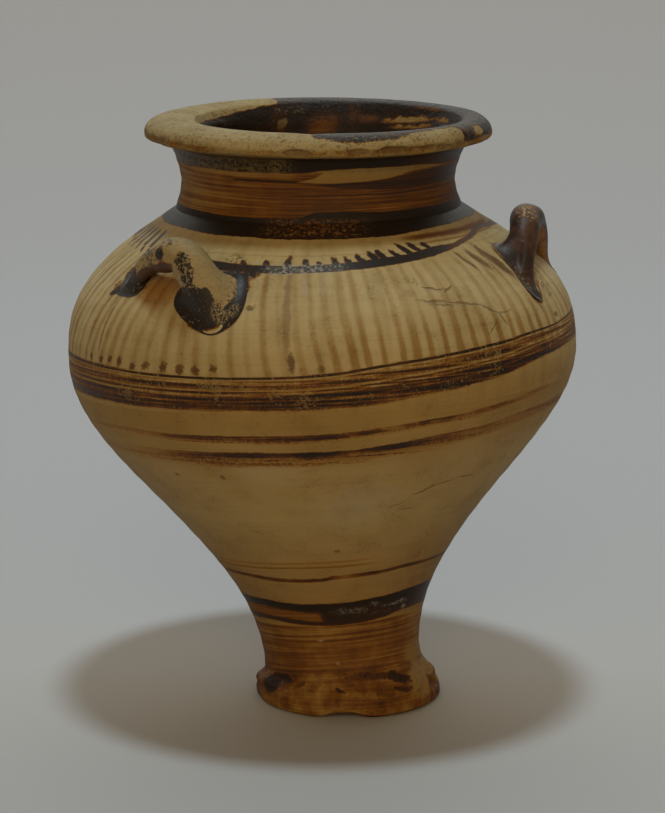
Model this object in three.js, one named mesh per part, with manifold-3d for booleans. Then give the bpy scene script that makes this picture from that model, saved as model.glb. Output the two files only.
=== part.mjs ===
// Piriform jar: a small wheel-thrown clay jar with three loop handles and a splayed foot.
// Millimetres, +Z up. It stands on the plane z = 0, with its origin under the middle of its box.
//
// Every piece is made upright about the wheel's axis first. The whole jar then takes the lean
// that it got while the clay was soft: foot and rim stay level, the rings between them tilt,
// and the rim ends up to the left of the foot and behind it.
// Front is -Y, and an azimuth is counted from the front towards +X.

import * as THREE from 'three';
import { mergeVertices } from 'three/addons/utils/BufferGeometryUtils.js';
import Module from 'manifold-3d';

const wasm = await Module();
wasm.setup();

// Walls and gaps
const wall = 4.5;
const floorThickness = 8;
const lutingGap = 0.3;

// Foot: a low splayed disc, hollow beneath
const footHeight = 7.7;
const footRadius = 22;
const footSoleRadius = 20.9;
const footEdgeHeight = 1.5;
const footRecessRadius = 14;
const footRecessDepth = 2.6;
const footOffset = new THREE.Vector2(0.8, 0);

// Body: from the stem on the foot up to the widest ring, then in to the neck
const stemRadius = 18.4;
const bodyHeight = 73.8;
const bellyRadius = 59.3;
const seamDrop = 6.5;
const shoulderHeight = 33.5;
const neckBaseRadius = 33;

// Neck and rim
const throatRadius = 31.7;
const throatHeight = 6.5;
const rimHeight = 17.2;
const rimRadius = 40.2;
const lipRise = 3.6;
const lipFall = 2.4;
const crestInset = 4.6;
const mouthRadius = 30.6;
const mouthDrop = 0.9;

// Handles: upright loops of a rolled coil, pressed onto the shoulder
const handleRodRadius = 3.9;
const handleLegReach = 8;

// Each handle has two roots and a top, each at an azimuth in degrees
// A root's height above the belly is a share of the shoulder's height, and all the other values
// are shares of the coil's radius: half the coil's width and depth at the root, how far the top
// lies inside the roots, and the finger gap under it
const handleShares = {
  front_left: {
    roots: [
      { azimuth: -52, height: 0.642, halfWidth: 1.28, halfDepth: 0.77 },
      { azimuth: -26, height: 0.537, halfWidth: 2.3, halfDepth: 1 },
    ],
    top: { azimuth: -36, inset: 0, gap: 1.1 },
  },
  right: {
    roots: [
      { azimuth: 64.5, height: 0.657, halfWidth: 1.92, halfDepth: 0.92 },
      { azimuth: 93.5, height: 0.657, halfWidth: 1.92, halfDepth: 0.92 },
    ],
    top: { azimuth: 79, inset: 0.59, gap: 0.77 },
  },
  back: {
    roots: [
      { azimuth: 184.5, height: 0.627, halfWidth: 1.92, halfDepth: 0.92 },
      { azimuth: 213.5, height: 0.627, halfWidth: 1.92, halfDepth: 0.92 },
    ],
    top: { azimuth: 199, inset: 0.38, gap: 0.87 },
  },
};

// The lean of the soft jar: how far the rim's centre lies from the foot's, across and behind
const rimDrift = new THREE.Vector2(-6.5, 9.2);

// How finely the pieces are turned
const turns = 48;
const bodySteps = 14;
const shoulderSteps = 9;
const neckSteps = 11;
const rodSides = 12;
const rodSteps = 26;

// Heights that follow
const bellyZ = footHeight + bodyHeight;
const seamZ = bellyZ - seamDrop;
const neckBaseZ = bellyZ + shoulderHeight;
const rimZ = neckBaseZ + rimHeight;
const crestZ = rimZ + lipRise;
const floorZ = footHeight + floorThickness;

const point = (radius, height) => new THREE.Vector2(radius, height);

// The outside of the body, from the foot's top to the neck's base, as two curves
function bodyOutline() {
  const lowerPullShare = 0.42;
  const bellyPullShare = 0.32;
  const shoulderPullShare = 0.4;
  const slopeRadiusShare = 0.85;
  const slopeHeightShare = 0.385;
  const lower = new THREE.CubicBezierCurve(
    point(stemRadius, footHeight),
    point(stemRadius, footHeight + bodyHeight * lowerPullShare),
    point(bellyRadius, bellyZ - bodyHeight * bellyPullShare),
    point(bellyRadius, bellyZ),
  );
  const upper = new THREE.CubicBezierCurve(
    point(bellyRadius, bellyZ),
    point(bellyRadius, bellyZ + shoulderHeight * shoulderPullShare),
    point(neckBaseRadius + (bellyRadius - neckBaseRadius) * slopeRadiusShare,
      neckBaseZ - shoulderHeight * slopeHeightShare),
    point(neckBaseRadius, neckBaseZ),
  );
  return [...lower.getPoints(bodySteps), ...upper.getPoints(shoulderSteps).slice(1)];
}

// An outline that climbs, moved square to itself: outwards, or inwards if the distance is negative
function offset(outline, distance) {
  return outline.map((here, index) => {
    const before = outline[Math.max(index - 1, 0)];
    const after = outline[Math.min(index + 1, outline.length - 1)];
    const along = after.clone().sub(before).normalize();
    return point(here.x + along.y * distance, here.y - along.x * distance);
  });
}

// The radius of a climbing outline at a height
function radiusAt(outline, height) {
  const next = outline.findIndex((p) => p.y >= height);
  const above = outline[Math.max(next, 1)];
  const below = outline[Math.max(next, 1) - 1];
  return THREE.MathUtils.mapLinear(height, below.y, above.y, below.x, above.x);
}

// The height at which a climbing outline last has a radius, on its way in
function heightAt(outline, radius) {
  const next = outline.findIndex((p, index) => index > 0 && p.x < radius && outline[index - 1].x >= radius);
  const [below, above] = [outline[next - 1], outline[next]];
  return THREE.MathUtils.mapLinear(radius, below.x, above.x, below.y, above.y);
}

// The stretch of a climbing outline between two heights, with a point at each of them
function stretch(outline, low, high) {
  const margin = (high - low) / (outline.length * outline.length);
  const between = outline.filter((p) => p.y > low + margin && p.y < high - margin);
  return [point(radiusAt(outline, low), low), ...between, point(radiusAt(outline, high), high)];
}

// The inside of the body: a round floor, then the outside less the wall, up to the neck's base
function cavityOutline(outside) {
  const floorRoundShare = 0.6;
  const floorSteps = 5;
  const inset = offset(outside, -wall);
  const round = wall * floorRoundShare + wall;
  const rising = inset.filter((p) => p.y > floorZ + round && p.y < neckBaseZ - wall * floorRoundShare);
  const side = radiusAt(inset, floorZ + round);
  const floor = [];
  for (let step = 0; step <= floorSteps; step += 1) {
    const angle = (step / floorSteps) * (Math.PI / 2);
    floor.push(point(side * Math.sin(angle), floorZ + round * (1 - Math.cos(angle))));
  }
  return [...floor, ...rising, point(neckBaseRadius - wall, neckBaseZ)];
}

// Both sides of the neck and the everted lip, from the outer base round to the inner base
function neckOutline() {
  const throatZ = neckBaseZ + throatHeight;
  const underZ = rimZ - lipFall;
  const overhang = rimRadius - throatRadius;
  const flareShare = 0.5;
  const roundShare = 0.12;
  const lipSteps = 4;
  const insideSteps = 6;
  const underside = new THREE.SplineCurve([
    point(neckBaseRadius, neckBaseZ),
    point(throatRadius, throatZ),
    point(throatRadius + overhang * (1 - flareShare) / 2, underZ - lipFall / 2),
    point(throatRadius + overhang * flareShare, underZ),
    point(rimRadius - lipFall / 4, rimZ - lipFall / 2),
    point(rimRadius, rimZ),
  ]);
  const face = new THREE.QuadraticBezierCurve(
    point(rimRadius, rimZ),
    point(rimRadius - crestInset * roundShare, crestZ - lipRise * roundShare),
    point(rimRadius - crestInset, crestZ),
  );
  const inside = new THREE.SplineCurve([
    point(mouthRadius, crestZ - mouthDrop),
    point(throatRadius - wall + mouthDrop, rimZ - lipFall),
    point(throatRadius - wall, throatZ),
    point(neckBaseRadius - wall, neckBaseZ),
  ]);
  return [
    ...underside.getPoints(neckSteps),
    ...face.getPoints(lipSteps).slice(1),
    ...inside.getPoints(insideSteps),
  ];
}

// The foot: splayed from the stem to its edge, turned under, and hollowed beneath
function footOutline() {
  const edgePullShare = 0.5;
  const splayShares = { radius: 0.3, height: 0.7 };
  const recessFlatShare = 0.8;
  const recessSteps = 4;
  const splaySteps = 6;
  const splay = new THREE.CubicBezierCurve(
    point(footRadius, footEdgeHeight),
    point(footRadius, footHeight * edgePullShare),
    point(stemRadius + (footRadius - stemRadius) * splayShares.radius, footHeight * splayShares.height),
    point(stemRadius, footHeight),
  );
  const recess = new THREE.QuadraticBezierCurve(
    point(0, footRecessDepth),
    point(footRecessRadius * recessFlatShare, footRecessDepth),
    point(footRecessRadius, 0),
  );
  return [
    ...recess.getPoints(recessSteps),
    point(footSoleRadius, 0),
    ...splay.getPoints(splaySteps),
    point(0, footHeight),
  ];
}

// Turning: an outline that closes on itself, or starts and ends on the axis, goes round +Z
function turned(outline) {
  const closed = outline[0].x === 0 ? outline : [...outline, outline[0]];
  const geometry = new THREE.LatheGeometry(closed, turns);
  geometry.rotateX(Math.PI / 2);
  return outwards(joined(geometry));
}

// The same surface with its shared vertices merged, so that it is closed
function joined(geometry) {
  geometry.deleteAttribute('normal');
  geometry.deleteAttribute('uv');
  const merged = mergeVertices(geometry);
  const faces = Array.from(merged.index.array);
  const kept = [];
  for (let face = 0; face < faces.length; face += 3) {
    const [a, b, c] = faces.slice(face, face + 3);
    if (a !== b && b !== c && c !== a) kept.push(a, b, c);
  }
  merged.setIndex(kept);
  return merged;
}

// The same surface with its faces turned to point out of it
function outwards(geometry) {
  const corner = (index) => new THREE.Vector3().fromBufferAttribute(geometry.attributes.position, index);
  const faces = Array.from(geometry.index.array);
  let volume = 0;
  for (let face = 0; face < faces.length; face += 3) {
    const [a, b, c] = faces.slice(face, face + 3).map(corner);
    volume += a.dot(b.cross(c));
  }
  if (volume < 0) geometry.setIndex(faces.reverse());
  return geometry;
}

function solidOf(geometry) {
  return new wasm.Manifold(new wasm.Mesh({
    numProp: 3,
    vertProperties: Float32Array.from(geometry.attributes.position.array),
    triVerts: Uint32Array.from(geometry.index.array),
  }));
}

function geometryOf(solid) {
  const mesh = solid.getMesh();
  const geometry = new THREE.BufferGeometry();
  geometry.setAttribute('position', new THREE.BufferAttribute(Float32Array.from(mesh.vertProperties), 3));
  geometry.setIndex(Array.from(mesh.triVerts));
  return geometry;
}

// A place round the jar, by azimuth in degrees, radius and height
function around({ azimuth, radius, height }) {
  const angle = THREE.MathUtils.degToRad(azimuth);
  return new THREE.Vector3(radius * Math.sin(angle), -radius * Math.cos(angle), height);
}

// A handle's centre line: up from inside the wall, over its top, and down into the wall again
function handleLine({ roots, top }, outside) {
  const kneeShares = { azimuth: 0.4, radius: 0.4, height: 0.5 };
  const crookShares = { azimuth: 0.7, radius: 0.8, height: 0.88 };
  const seats = roots.map(({ azimuth, height }) => {
    const level = bellyZ + height * shoulderHeight;
    return { azimuth, radius: radiusAt(outside, level), height: level };
  });
  const radius = (seats[0].radius + seats[1].radius) / 2 - top.inset * handleRodRadius;
  const height = heightAt(outside, radius) + (top.gap + 1) * handleRodRadius;
  const crown = { azimuth: top.azimuth, radius, height };
  const leg = (seat) => {
    const towards = (shares) => around(Object.fromEntries(Object.entries(shares).map(
      ([key, share]) => [key, THREE.MathUtils.lerp(seat[key], crown[key], share)],
    )));
    const end = { ...seat, height: seat.height - handleLegReach };
    return [around(end), around(seat), towards(kneeShares), towards(crookShares)];
  };
  return new THREE.CatmullRomCurve3([...leg(seats[0]), around(crown), ...leg(seats[1]).reverse()]);
}

// A rolled coil, broad at both ends, bent along its line and trimmed to the shoulder
function handle(shares, outside, shoulderBlank) {
  const padStartShare = 0.3;
  const line = handleLine(shares, outside);
  const rod = [];
  for (let step = 0; step <= rodSteps; step += 1) rod.push(point(1, step / rodSteps));
  const geometry = new THREE.LatheGeometry([point(0, 0), ...rod, point(0, 1)], rodSides);
  const places = geometry.attributes.position;
  for (let index = 0; index < places.count; index += 1) {
    const along = places.getY(index);
    const spread = Math.max(Math.abs(2 * along - 1) - padStartShare, 0) / (1 - padStartShare);
    const root = shares.roots[along < 1 - along ? 0 : 1];
    const halfWidth = handleRodRadius * THREE.MathUtils.lerp(1, root.halfWidth, spread);
    const halfDepth = handleRodRadius * THREE.MathUtils.lerp(1, root.halfDepth, spread);
    const bent = line.getPointAt(along);
    const tangent = line.getTangentAt(along);
    const out = bent.clone().setZ(0).normalize();
    const depth = out.addScaledVector(tangent, -out.dot(tangent)).normalize();
    const width = new THREE.Vector3().crossVectors(depth, tangent);
    bent.addScaledVector(width, places.getX(index) * halfWidth);
    bent.addScaledVector(depth, places.getZ(index) * halfDepth);
    places.setXYZ(index, bent.x, bent.y, bent.z);
  }
  return geometryOf(solidOf(outwards(joined(geometry))).subtract(shoulderBlank));
}

// The lean: each ring drifts with its height and tilts as the axis does there
function lean(geometry) {
  const places = geometry.attributes.position;
  for (let index = 0; index < places.count; index += 1) {
    const [x, y, z] = [places.getX(index), places.getY(index), places.getZ(index)];
    const climb = Math.min(z / rimZ, 1);
    const drift = climb * (2 - climb);
    const tilt = (2 * (1 - climb) / rimZ) * Math.min(z / footHeight, 1);
    const spread = Math.max(1 - z / footHeight, 0);
    places.setXYZ(
      index,
      x + rimDrift.x * drift + footOffset.x * spread,
      y + rimDrift.y * drift + footOffset.y * spread,
      z - (rimDrift.x * x + rimDrift.y * y) * tilt,
    );
  }
  return geometry;
}

const outside = bodyOutline();
const cavity = cavityOutline(outside);
const shoulderBlank = solidOf(turned([
  point(0, footHeight),
  ...stretch(offset(outside, lutingGap), seamZ - seamDrop, neckBaseZ),
  point(0, neckBaseZ),
]));

const pieces = {
  foot: turned(footOutline()),
  lower_body: turned([
    point(0, footHeight),
    ...stretch(outside, footHeight, seamZ),
    ...stretch(cavity, floorZ, seamZ).reverse(),
  ]),
  shoulder: turned([
    ...stretch(outside, seamZ, neckBaseZ),
    ...stretch(cavity, seamZ, neckBaseZ).reverse(),
  ]),
  neck_and_rim: turned(neckOutline()),
};
for (const [name, shares] of Object.entries(handleShares)) {
  pieces[`handle_${name}`] = handle(shares, outside, shoulderBlank);
}

// Buff clay with a brown-black slip: the rim, neck and handles are mostly slipped
const clay = { color: 0x9a8763, roughness: 0.55, metalness: 0 };
const slip = { color: 0x3a332e, roughness: 0.35, metalness: 0 };
const finishes = {
  foot: { ...clay, color: 0x8a6a45 },
  lower_body: clay,
  shoulder: clay,
  neck_and_rim: slip,
  handle_front_left: { ...clay, color: 0x857b66 },
  handle_right: slip,
  handle_back: slip,
};

const jar = new THREE.Group();
for (const [name, geometry] of Object.entries(pieces)) {
  const mesh = new THREE.Mesh(lean(geometry), new THREE.MeshStandardMaterial(finishes[name]));
  mesh.name = name;
  mesh.geometry.computeVertexNormals();
  jar.add(mesh);
}

// The origin goes under the middle of the jar's box
const middle = new THREE.Box3().setFromObject(jar, true).getCenter(new THREE.Vector3());
for (const mesh of jar.children) {
  mesh.geometry.translate(-middle.x, -middle.y, 0);
}

export default jar;
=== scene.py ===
"""Piriform jar: a small wheel-made clay jar with loop handles, painted in bands of slip.

Sizes are in millimetres until a mesh is made, which is then scaled to metres. Each piece is
shaped upright about the wheel's axis and then takes the lean that the soft jar got. A point
attribute, "wheel", keeps the upright place of every point, and the painting follows that.
Front is -Y, and an azimuth is counted in degrees from the front towards +X.
"""

import logging
import math
from dataclasses import dataclass, field
from enum import Enum

import bpy
import numpy as np
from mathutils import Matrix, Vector


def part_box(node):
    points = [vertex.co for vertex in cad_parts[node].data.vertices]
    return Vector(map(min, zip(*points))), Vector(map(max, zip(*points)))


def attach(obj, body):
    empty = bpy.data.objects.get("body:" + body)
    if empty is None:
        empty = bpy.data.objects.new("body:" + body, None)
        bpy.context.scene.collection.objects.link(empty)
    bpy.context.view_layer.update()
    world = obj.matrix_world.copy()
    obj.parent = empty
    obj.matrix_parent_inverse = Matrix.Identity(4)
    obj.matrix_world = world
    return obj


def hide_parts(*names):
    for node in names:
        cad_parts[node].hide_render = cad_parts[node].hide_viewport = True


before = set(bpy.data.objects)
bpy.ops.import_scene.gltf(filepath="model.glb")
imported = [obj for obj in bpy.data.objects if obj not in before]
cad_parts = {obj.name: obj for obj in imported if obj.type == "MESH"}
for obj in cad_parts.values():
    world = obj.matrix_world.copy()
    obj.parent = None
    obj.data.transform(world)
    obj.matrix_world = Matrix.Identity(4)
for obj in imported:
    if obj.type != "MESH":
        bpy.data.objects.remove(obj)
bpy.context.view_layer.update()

LOG = logging.getLogger("jar")
MM = 0.001
BODY = "root"
WHEEL = "wheel"
OUTWARD = "outward"
COIL = "coil"
LIFT = "lift"
BROKEN = "broken"
DEGREES = 180 / math.pi
SHARP_DEGREES = 50
MERGE = 0.002 * MM

Socket = bpy.types.NodeSocket
Node = bpy.types.Node
Material = bpy.types.Material
Mesh = bpy.types.Mesh
Piece = bpy.types.Object
Pair = tuple[float, float]
Triple = tuple[float, float, float]
Row = tuple[float, ...]
Colour = tuple[float, float, float, float]
Tones = tuple[tuple[float, Colour], ...]


def srgb(red: int, green: int, blue: int) -> Colour:
    """A linear colour from its three sRGB levels, 0 to 255."""
    levels = (level / 255 for level in (red, green, blue))
    linear = [v / 12.92 if v <= 0.04045 else ((v + 0.055) / 1.055) ** 2.4 for v in levels]
    return (linear[0], linear[1], linear[2], 1.0)


def hermite(
    share: np.ndarray, start: np.ndarray, end: np.ndarray, leave: np.ndarray, arrive: np.ndarray,
) -> np.ndarray:
    """Places on a smooth span.

    Args:
        share: how far along the span each place is, from 0 to 1.
        start: where it starts.
        end: where it ends.
        leave: its direction and speed at the start.
        arrive: its direction and speed at the end.

    Returns:
        The places.
    """
    square, cube = share**2, share**3
    return (
        (2 * cube - 3 * square + 1) * start + (cube - 2 * square + share) * leave
        + (3 * square - 2 * cube) * end + (cube - square) * arrive
    )


def link(thing: Piece) -> None:
    """Puts an object in the scene."""
    bpy.context.scene.collection.objects.link(thing)


def path_length(curve: np.ndarray) -> np.ndarray:
    """How far along a curve each of its points is."""
    return np.concatenate([[0], np.cumsum(np.linalg.norm(np.diff(curve, axis=0), axis=1))])


def read_vectors(source: bpy.types.bpy_prop_collection, name: str) -> np.ndarray:
    """A vector of every element of a collection, such as the place of every point."""
    values = np.zeros(len(source) * 3, np.float32)
    source.foreach_get(name, values)
    return values.reshape(-1, 3)


def store(mesh: Mesh, name: str, values: np.ndarray) -> None:
    """Keeps a number or a vector for every point of a mesh."""
    kind, key = ("FLOAT_VECTOR", "vector") if values.ndim > 1 else ("FLOAT", "value")
    stored = mesh.attributes.new(name, kind, "POINT")
    stored.data.foreach_set(key, values.astype(np.float32).ravel())


class Value:
    """A number socket that can be used in Python expressions, each adding its Math node."""

    def __init__(self, graph: "Graph", socket: Socket) -> None:
        """Args:
            graph: the graph that the socket belongs to.
            socket: the output socket that carries the number.
        """
        self.graph = graph
        self.socket = socket

    def __add__(self, other: "Number") -> "Value":
        """Sum."""
        return self.graph.math("ADD", self, other)

    def __radd__(self, other: "Number") -> "Value":
        """Sum, with the number first."""
        return self.graph.math("ADD", other, self)

    def __sub__(self, other: "Number") -> "Value":
        """Difference."""
        return self.graph.math("SUBTRACT", self, other)

    def __rsub__(self, other: "Number") -> "Value":
        """Difference, with the number first."""
        return self.graph.math("SUBTRACT", other, self)

    def __mul__(self, other: "Number") -> "Value":
        """Product."""
        return self.graph.math("MULTIPLY", self, other)

    def __rmul__(self, other: "Number") -> "Value":
        """Product, with the number first."""
        return self.graph.math("MULTIPLY", other, self)

    def __truediv__(self, other: "Number") -> "Value":
        """Quotient."""
        return self.graph.math("DIVIDE", self, other)

    def __rtruediv__(self, other: "Number") -> "Value":
        """Quotient, with the number first."""
        return self.graph.math("DIVIDE", other, self)

    def __neg__(self) -> "Value":
        """The number with its sign turned."""
        return self.graph.math("MULTIPLY", self, -1.0)

    def __pow__(self, other: "Number") -> "Value":
        """Power."""
        return self.graph.math("POWER", self, other)

    def __abs__(self) -> "Value":
        """The number without its sign."""
        return self.graph.math("ABSOLUTE", self)

    def step(self, low: "Number", high: "Number") -> "Value":
        """A smooth step: 0 where the number is below low, 1 above high; low may be the larger."""
        return self.graph.step(self, low, high)

    def between(self, low: "Number", high: "Number", edge: float) -> "Value":
        """A soft-edged mask that is 1 between two levels."""
        half = edge / 2
        return self.step(low - half, low + half) * self.step(high + half, high - half)


Number = Value | float


class Graph:
    """A node tree that is written as Python expressions."""

    def __init__(self, tree: bpy.types.NodeTree) -> None:
        """Args:
            tree: the shader or geometry tree to add nodes to.
        """
        self.tree = tree

    def node(self, kind: str, settings: dict | None = None, inputs: dict | None = None) -> Node:
        """Adds a node.

        Args:
            kind: the node's type.
            settings: its properties, set first; "stops" gives a colour ramp's stops and
                "knots" a float curve's.
            inputs: a value or link for each named or numbered socket.

        Returns:
            The node.
        """
        made = self.tree.nodes.new(kind)
        for name, value in (settings or {}).items():
            if name == "stops":
                self._set_stops(made, value)
            elif name == "knots":
                self._set_knots(made, value)
            else:
                setattr(made, name, value)
        for name, value in (inputs or {}).items():
            socket = made.inputs[name] if isinstance(name, int) else self._enabled(made.inputs, name)
            self._feed(socket, value)
        return made

    @staticmethod
    def _set_stops(ramp: Node, stops: list[tuple[float, Colour]]) -> None:
        """Gives a colour ramp its stops, each a place and a colour."""
        elements = ramp.color_ramp.elements
        while len(elements) < len(stops):
            elements.new(1.0)
        for element, (place, colour) in zip(elements, stops):
            element.position = place
            element.color = colour

    @staticmethod
    def _set_knots(curve: Node, knots: list[Pair]) -> None:
        """Gives a float curve its knots, each a place and a value from 0 to 1."""
        points = curve.mapping.curves[0].points
        while len(points) < len(knots):
            points.new(0.5, 0.5)
        for point, (place, value) in zip(points, knots):
            point.location = (place, value)
        curve.mapping.update()

    @staticmethod
    def _enabled(sockets: bpy.types.NodeInputs, name: str) -> Socket:
        """The socket of that name that the node's settings leave in use."""
        return next(s for s in sockets if s.name == name and s.enabled)

    def _feed(self, socket: Socket, value: object) -> None:
        """Links a socket or sets its value."""
        if isinstance(value, Value):
            value = value.socket
        if isinstance(value, Socket):
            self.tree.links.new(value, socket)
        else:
            socket.default_value = value

    def out(self, node: Node, name: str | int = 0) -> Socket:
        """An output socket, by its name or number."""
        return node.outputs[name] if isinstance(name, int) else self._enabled(node.outputs, name)

    def value(self, node: Node, name: str | int = 0) -> Value:
        """An output socket, by its name or number, for use in expressions."""
        return Value(self, self.out(node, name))

    def math(self, operation: str, *terms: Number) -> Value:
        """Adds a Math node."""
        inputs = {place: term for place, term in enumerate(terms)}
        return self.value(self.node("ShaderNodeMath", {"operation": operation}, inputs))

    def least(self, one: Number, other: Number) -> Value:
        """The smaller number."""
        return self.math("MINIMUM", one, other)

    def most(self, one: Number, other: Number) -> Value:
        """The larger number."""
        return self.math("MAXIMUM", one, other)

    def merged(self, *masks: Value) -> Value:
        """The largest of several numbers."""
        whole = masks[0]
        for mask in masks[1:]:
            whole = self.most(whole, mask)
        return whole

    def step(self, value: Number, low: Number, high: Number) -> Value:
        """Adds a Map Range node with smooth ends."""
        inputs = {"Value": value, "From Min": low, "From Max": high}
        return self.value(self.node("ShaderNodeMapRange", {"interpolation_type": "SMOOTHSTEP"}, inputs))

    def lerp(self, share: Number, one: Number, other: Number) -> Value:
        """A number that is share of the way from one to the other."""
        return one + (other - one) * share

    def vector(self, x: Number, y: Number, z: Number) -> Socket:
        """A vector from three numbers."""
        return self.out(self.node("ShaderNodeCombineXYZ", None, {0: x, 1: y, 2: z}))

    def parts(self, vector: Socket) -> tuple[Value, Value, Value]:
        """The three numbers of a vector."""
        split = self.node("ShaderNodeSeparateXYZ", None, {0: vector})
        return self.value(split, 0), self.value(split, 1), self.value(split, 2)

    def vector_math(self, operation: str, *terms: object) -> Socket:
        """Adds a Vector Math node on vectors."""
        inputs = {place: term for place, term in enumerate(terms)}
        return self.out(self.node("ShaderNodeVectorMath", {"operation": operation}, inputs))

    def scaled(self, vector: Socket, factor: Number) -> Socket:
        """A vector times a number."""
        inputs = {"Vector": vector, "Scale": factor}
        return self.out(self.node("ShaderNodeVectorMath", {"operation": "SCALE"}, inputs))

    def noise(self, place: Socket, scale: float, detail: float = 2.0, rough: float = 0.5) -> Value:
        """Smooth noise, mostly from 0.25 to 0.75, over a place."""
        inputs = {"Vector": place, "Scale": scale, "Detail": detail, "Roughness": rough}
        return self.value(self.node("ShaderNodeTexNoise", None, inputs), 0)

    def chance(self, seed: Number) -> Value:
        """A random number from 0 to 1 for each whole number."""
        inputs = {"W": seed}
        return self.value(self.node("ShaderNodeTexWhiteNoise", {"noise_dimensions": "1D"}, inputs), 0)

    def attribute(self, name: str) -> Node:
        """A node that reads an attribute of the piece."""
        return self.node("ShaderNodeAttribute", {"attribute_name": name, "attribute_type": "GEOMETRY"})

    def tint(self, share: Number, colour: object, stain: Colour) -> Socket:
        """A colour with a share of a stain over it, which darkens it."""
        return self.mix(share, colour, stain, "MULTIPLY")

    def mix(self, share: Number, one: object, other: object, mode: str = "MIX") -> Socket:
        """A colour that is share of the way from one to the other."""
        inputs = {"Factor": share, "A": one, "B": other}
        settings = {"data_type": "RGBA", "blend_type": mode, "clamp_factor": True}
        return self.out(self.node("ShaderNodeMix", settings, inputs), "Result")


@dataclass(frozen=True)
class JarShape:
    """The jar's driving sizes and outlines, in millimetres above the resting plane."""

    wall: float = 4.5
    floor_thickness: float = 8.0
    foot_height: float = 7.7
    foot_radius: float = 22.0
    foot_sole_radius: float = 20.9
    foot_edge_height: float = 1.5
    foot_recess_radius: float = 14.0
    foot_recess_depth: float = 2.6
    foot_offset: Pair = (0.8, 0.0)
    stem_radius: float = 18.4
    body_height: float = 73.8
    belly_radius: float = 59.3
    seam_drop: float = 6.5
    shoulder_height: float = 33.5
    neck_base_radius: float = 33.0
    throat_radius: float = 31.7
    throat_height: float = 6.5
    rim_height: float = 17.2
    rim_radius: float = 40.2
    lip_rise: float = 3.6
    lip_fall: float = 2.4
    crest_inset: float = 4.6
    mouth_radius: float = 30.6
    mouth_drop: float = 0.9
    rim_drift: Pair = (-6.5, 9.2)

    @property
    def belly_z(self) -> float:
        """Height of the widest ring."""
        return self.foot_height + self.body_height

    @property
    def seam_z(self) -> float:
        """Height of the seam between the lower body and the shoulder."""
        return self.belly_z - self.seam_drop

    @property
    def neck_base_z(self) -> float:
        """Height at which the neck stands on the shoulder."""
        return self.belly_z + self.shoulder_height

    @property
    def rim_z(self) -> float:
        """Height of the lip's outer edge."""
        return self.neck_base_z + self.rim_height

    @property
    def crest_z(self) -> float:
        """Height of the lip's highest ring."""
        return self.rim_z + self.lip_rise

    @property
    def floor_z(self) -> float:
        """Height of the floor inside."""
        return self.foot_height + self.floor_thickness

    @staticmethod
    def curve(corners: list[Pair], steps: int) -> np.ndarray:
        """Points along a quadratic or cubic Bezier curve."""
        share = np.linspace(0, 1, steps + 1)[:, None]
        points = np.array(corners, float)
        degree = len(corners) - 1
        return sum(
            math.comb(degree, k) * (1 - share) ** (degree - k) * share**k * points[k]
            for k in range(degree + 1)
        )

    @staticmethod
    def spline(knots: list[Pair], steps: int) -> np.ndarray:
        """Points along a smooth curve through knots, the same number in each span."""
        points = np.array(knots, float)
        padded = np.concatenate([points[:1], points, points[-1:]])
        made = []
        for before, start, end, after in zip(padded, padded[1:], padded[2:], padded[3:]):
            t = np.linspace(0, 1, steps + 1)[:-1, None]
            leave, arrive = (end - before) / 2, (after - start) / 2
            made.append(hermite(t, start, end, leave, arrive))
        return np.concatenate([*made, points[-1:]])

    def outside(self) -> np.ndarray:
        """The outside of the body, from the foot's top to the neck's base."""
        lower_pull, belly_pull, shoulder_pull = 0.42, 0.32, 0.4
        slope_radius, slope_height = 0.85, 0.385
        reach = self.belly_radius - self.neck_base_radius
        lower = self.curve([
            (self.stem_radius, self.foot_height),
            (self.stem_radius, self.foot_height + self.body_height * lower_pull),
            (self.belly_radius, self.belly_z - self.body_height * belly_pull),
            (self.belly_radius, self.belly_z),
        ], 120)
        upper = self.curve([
            (self.belly_radius, self.belly_z),
            (self.belly_radius, self.belly_z + self.shoulder_height * shoulder_pull),
            (
                self.neck_base_radius + reach * slope_radius,
                self.neck_base_z - self.shoulder_height * slope_height,
            ),
            (self.neck_base_radius, self.neck_base_z),
        ], 80)
        return np.concatenate([lower, upper[1:]])

    def inside(self) -> np.ndarray:
        """The inside of the body, from the middle of its floor up to the neck's base."""
        round_share, steps = 1.6, 14
        outside = self.outside()
        inset = outside - self.outward(outside) * self.wall
        bend = self.wall * round_share
        low, high = self.floor_z + bend, self.neck_base_z - self.wall / 2
        rising = inset[(inset[:, 1] > low) & (inset[:, 1] < high)][::2]
        side = rising[0, 0]
        angle = np.linspace(0, math.pi / 2, steps, endpoint=False)
        floor = np.stack([side * np.sin(angle), self.floor_z + bend * (1 - np.cos(angle))], -1)
        return np.concatenate([floor, rising, [(self.neck_base_radius - self.wall, self.neck_base_z)]])

    @staticmethod
    def outward(outline: np.ndarray) -> np.ndarray:
        """The direction square to an outline at each point, outwards where the outline climbs."""
        along = np.gradient(outline, axis=0)
        along /= np.linalg.norm(along, axis=1)[:, None]
        return np.stack([along[:, 1], -along[:, 0]], -1)

    def radius_at(self, height: np.ndarray) -> np.ndarray:
        """The outside radius at heights on the body."""
        outside = self.outside()
        return np.interp(height, outside[:, 1], outside[:, 0])

    def lean(self, places: np.ndarray) -> np.ndarray:
        """Upright places, moved as the soft jar leaned."""
        x, y, z = np.moveaxis(np.asarray(places, float), -1, 0)
        climb = np.minimum(z / self.rim_z, 1)
        drift = climb * (2 - climb)
        tilt = 2 * (1 - climb) / self.rim_z * np.minimum(z / self.foot_height, 1)
        spread = np.maximum(1 - z / self.foot_height, 0)
        across, behind = self.rim_drift
        return np.stack([
            x + across * drift + self.foot_offset[0] * spread,
            y + behind * drift + self.foot_offset[1] * spread,
            z - (across * x + behind * y) * tilt,
        ], -1)

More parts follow.
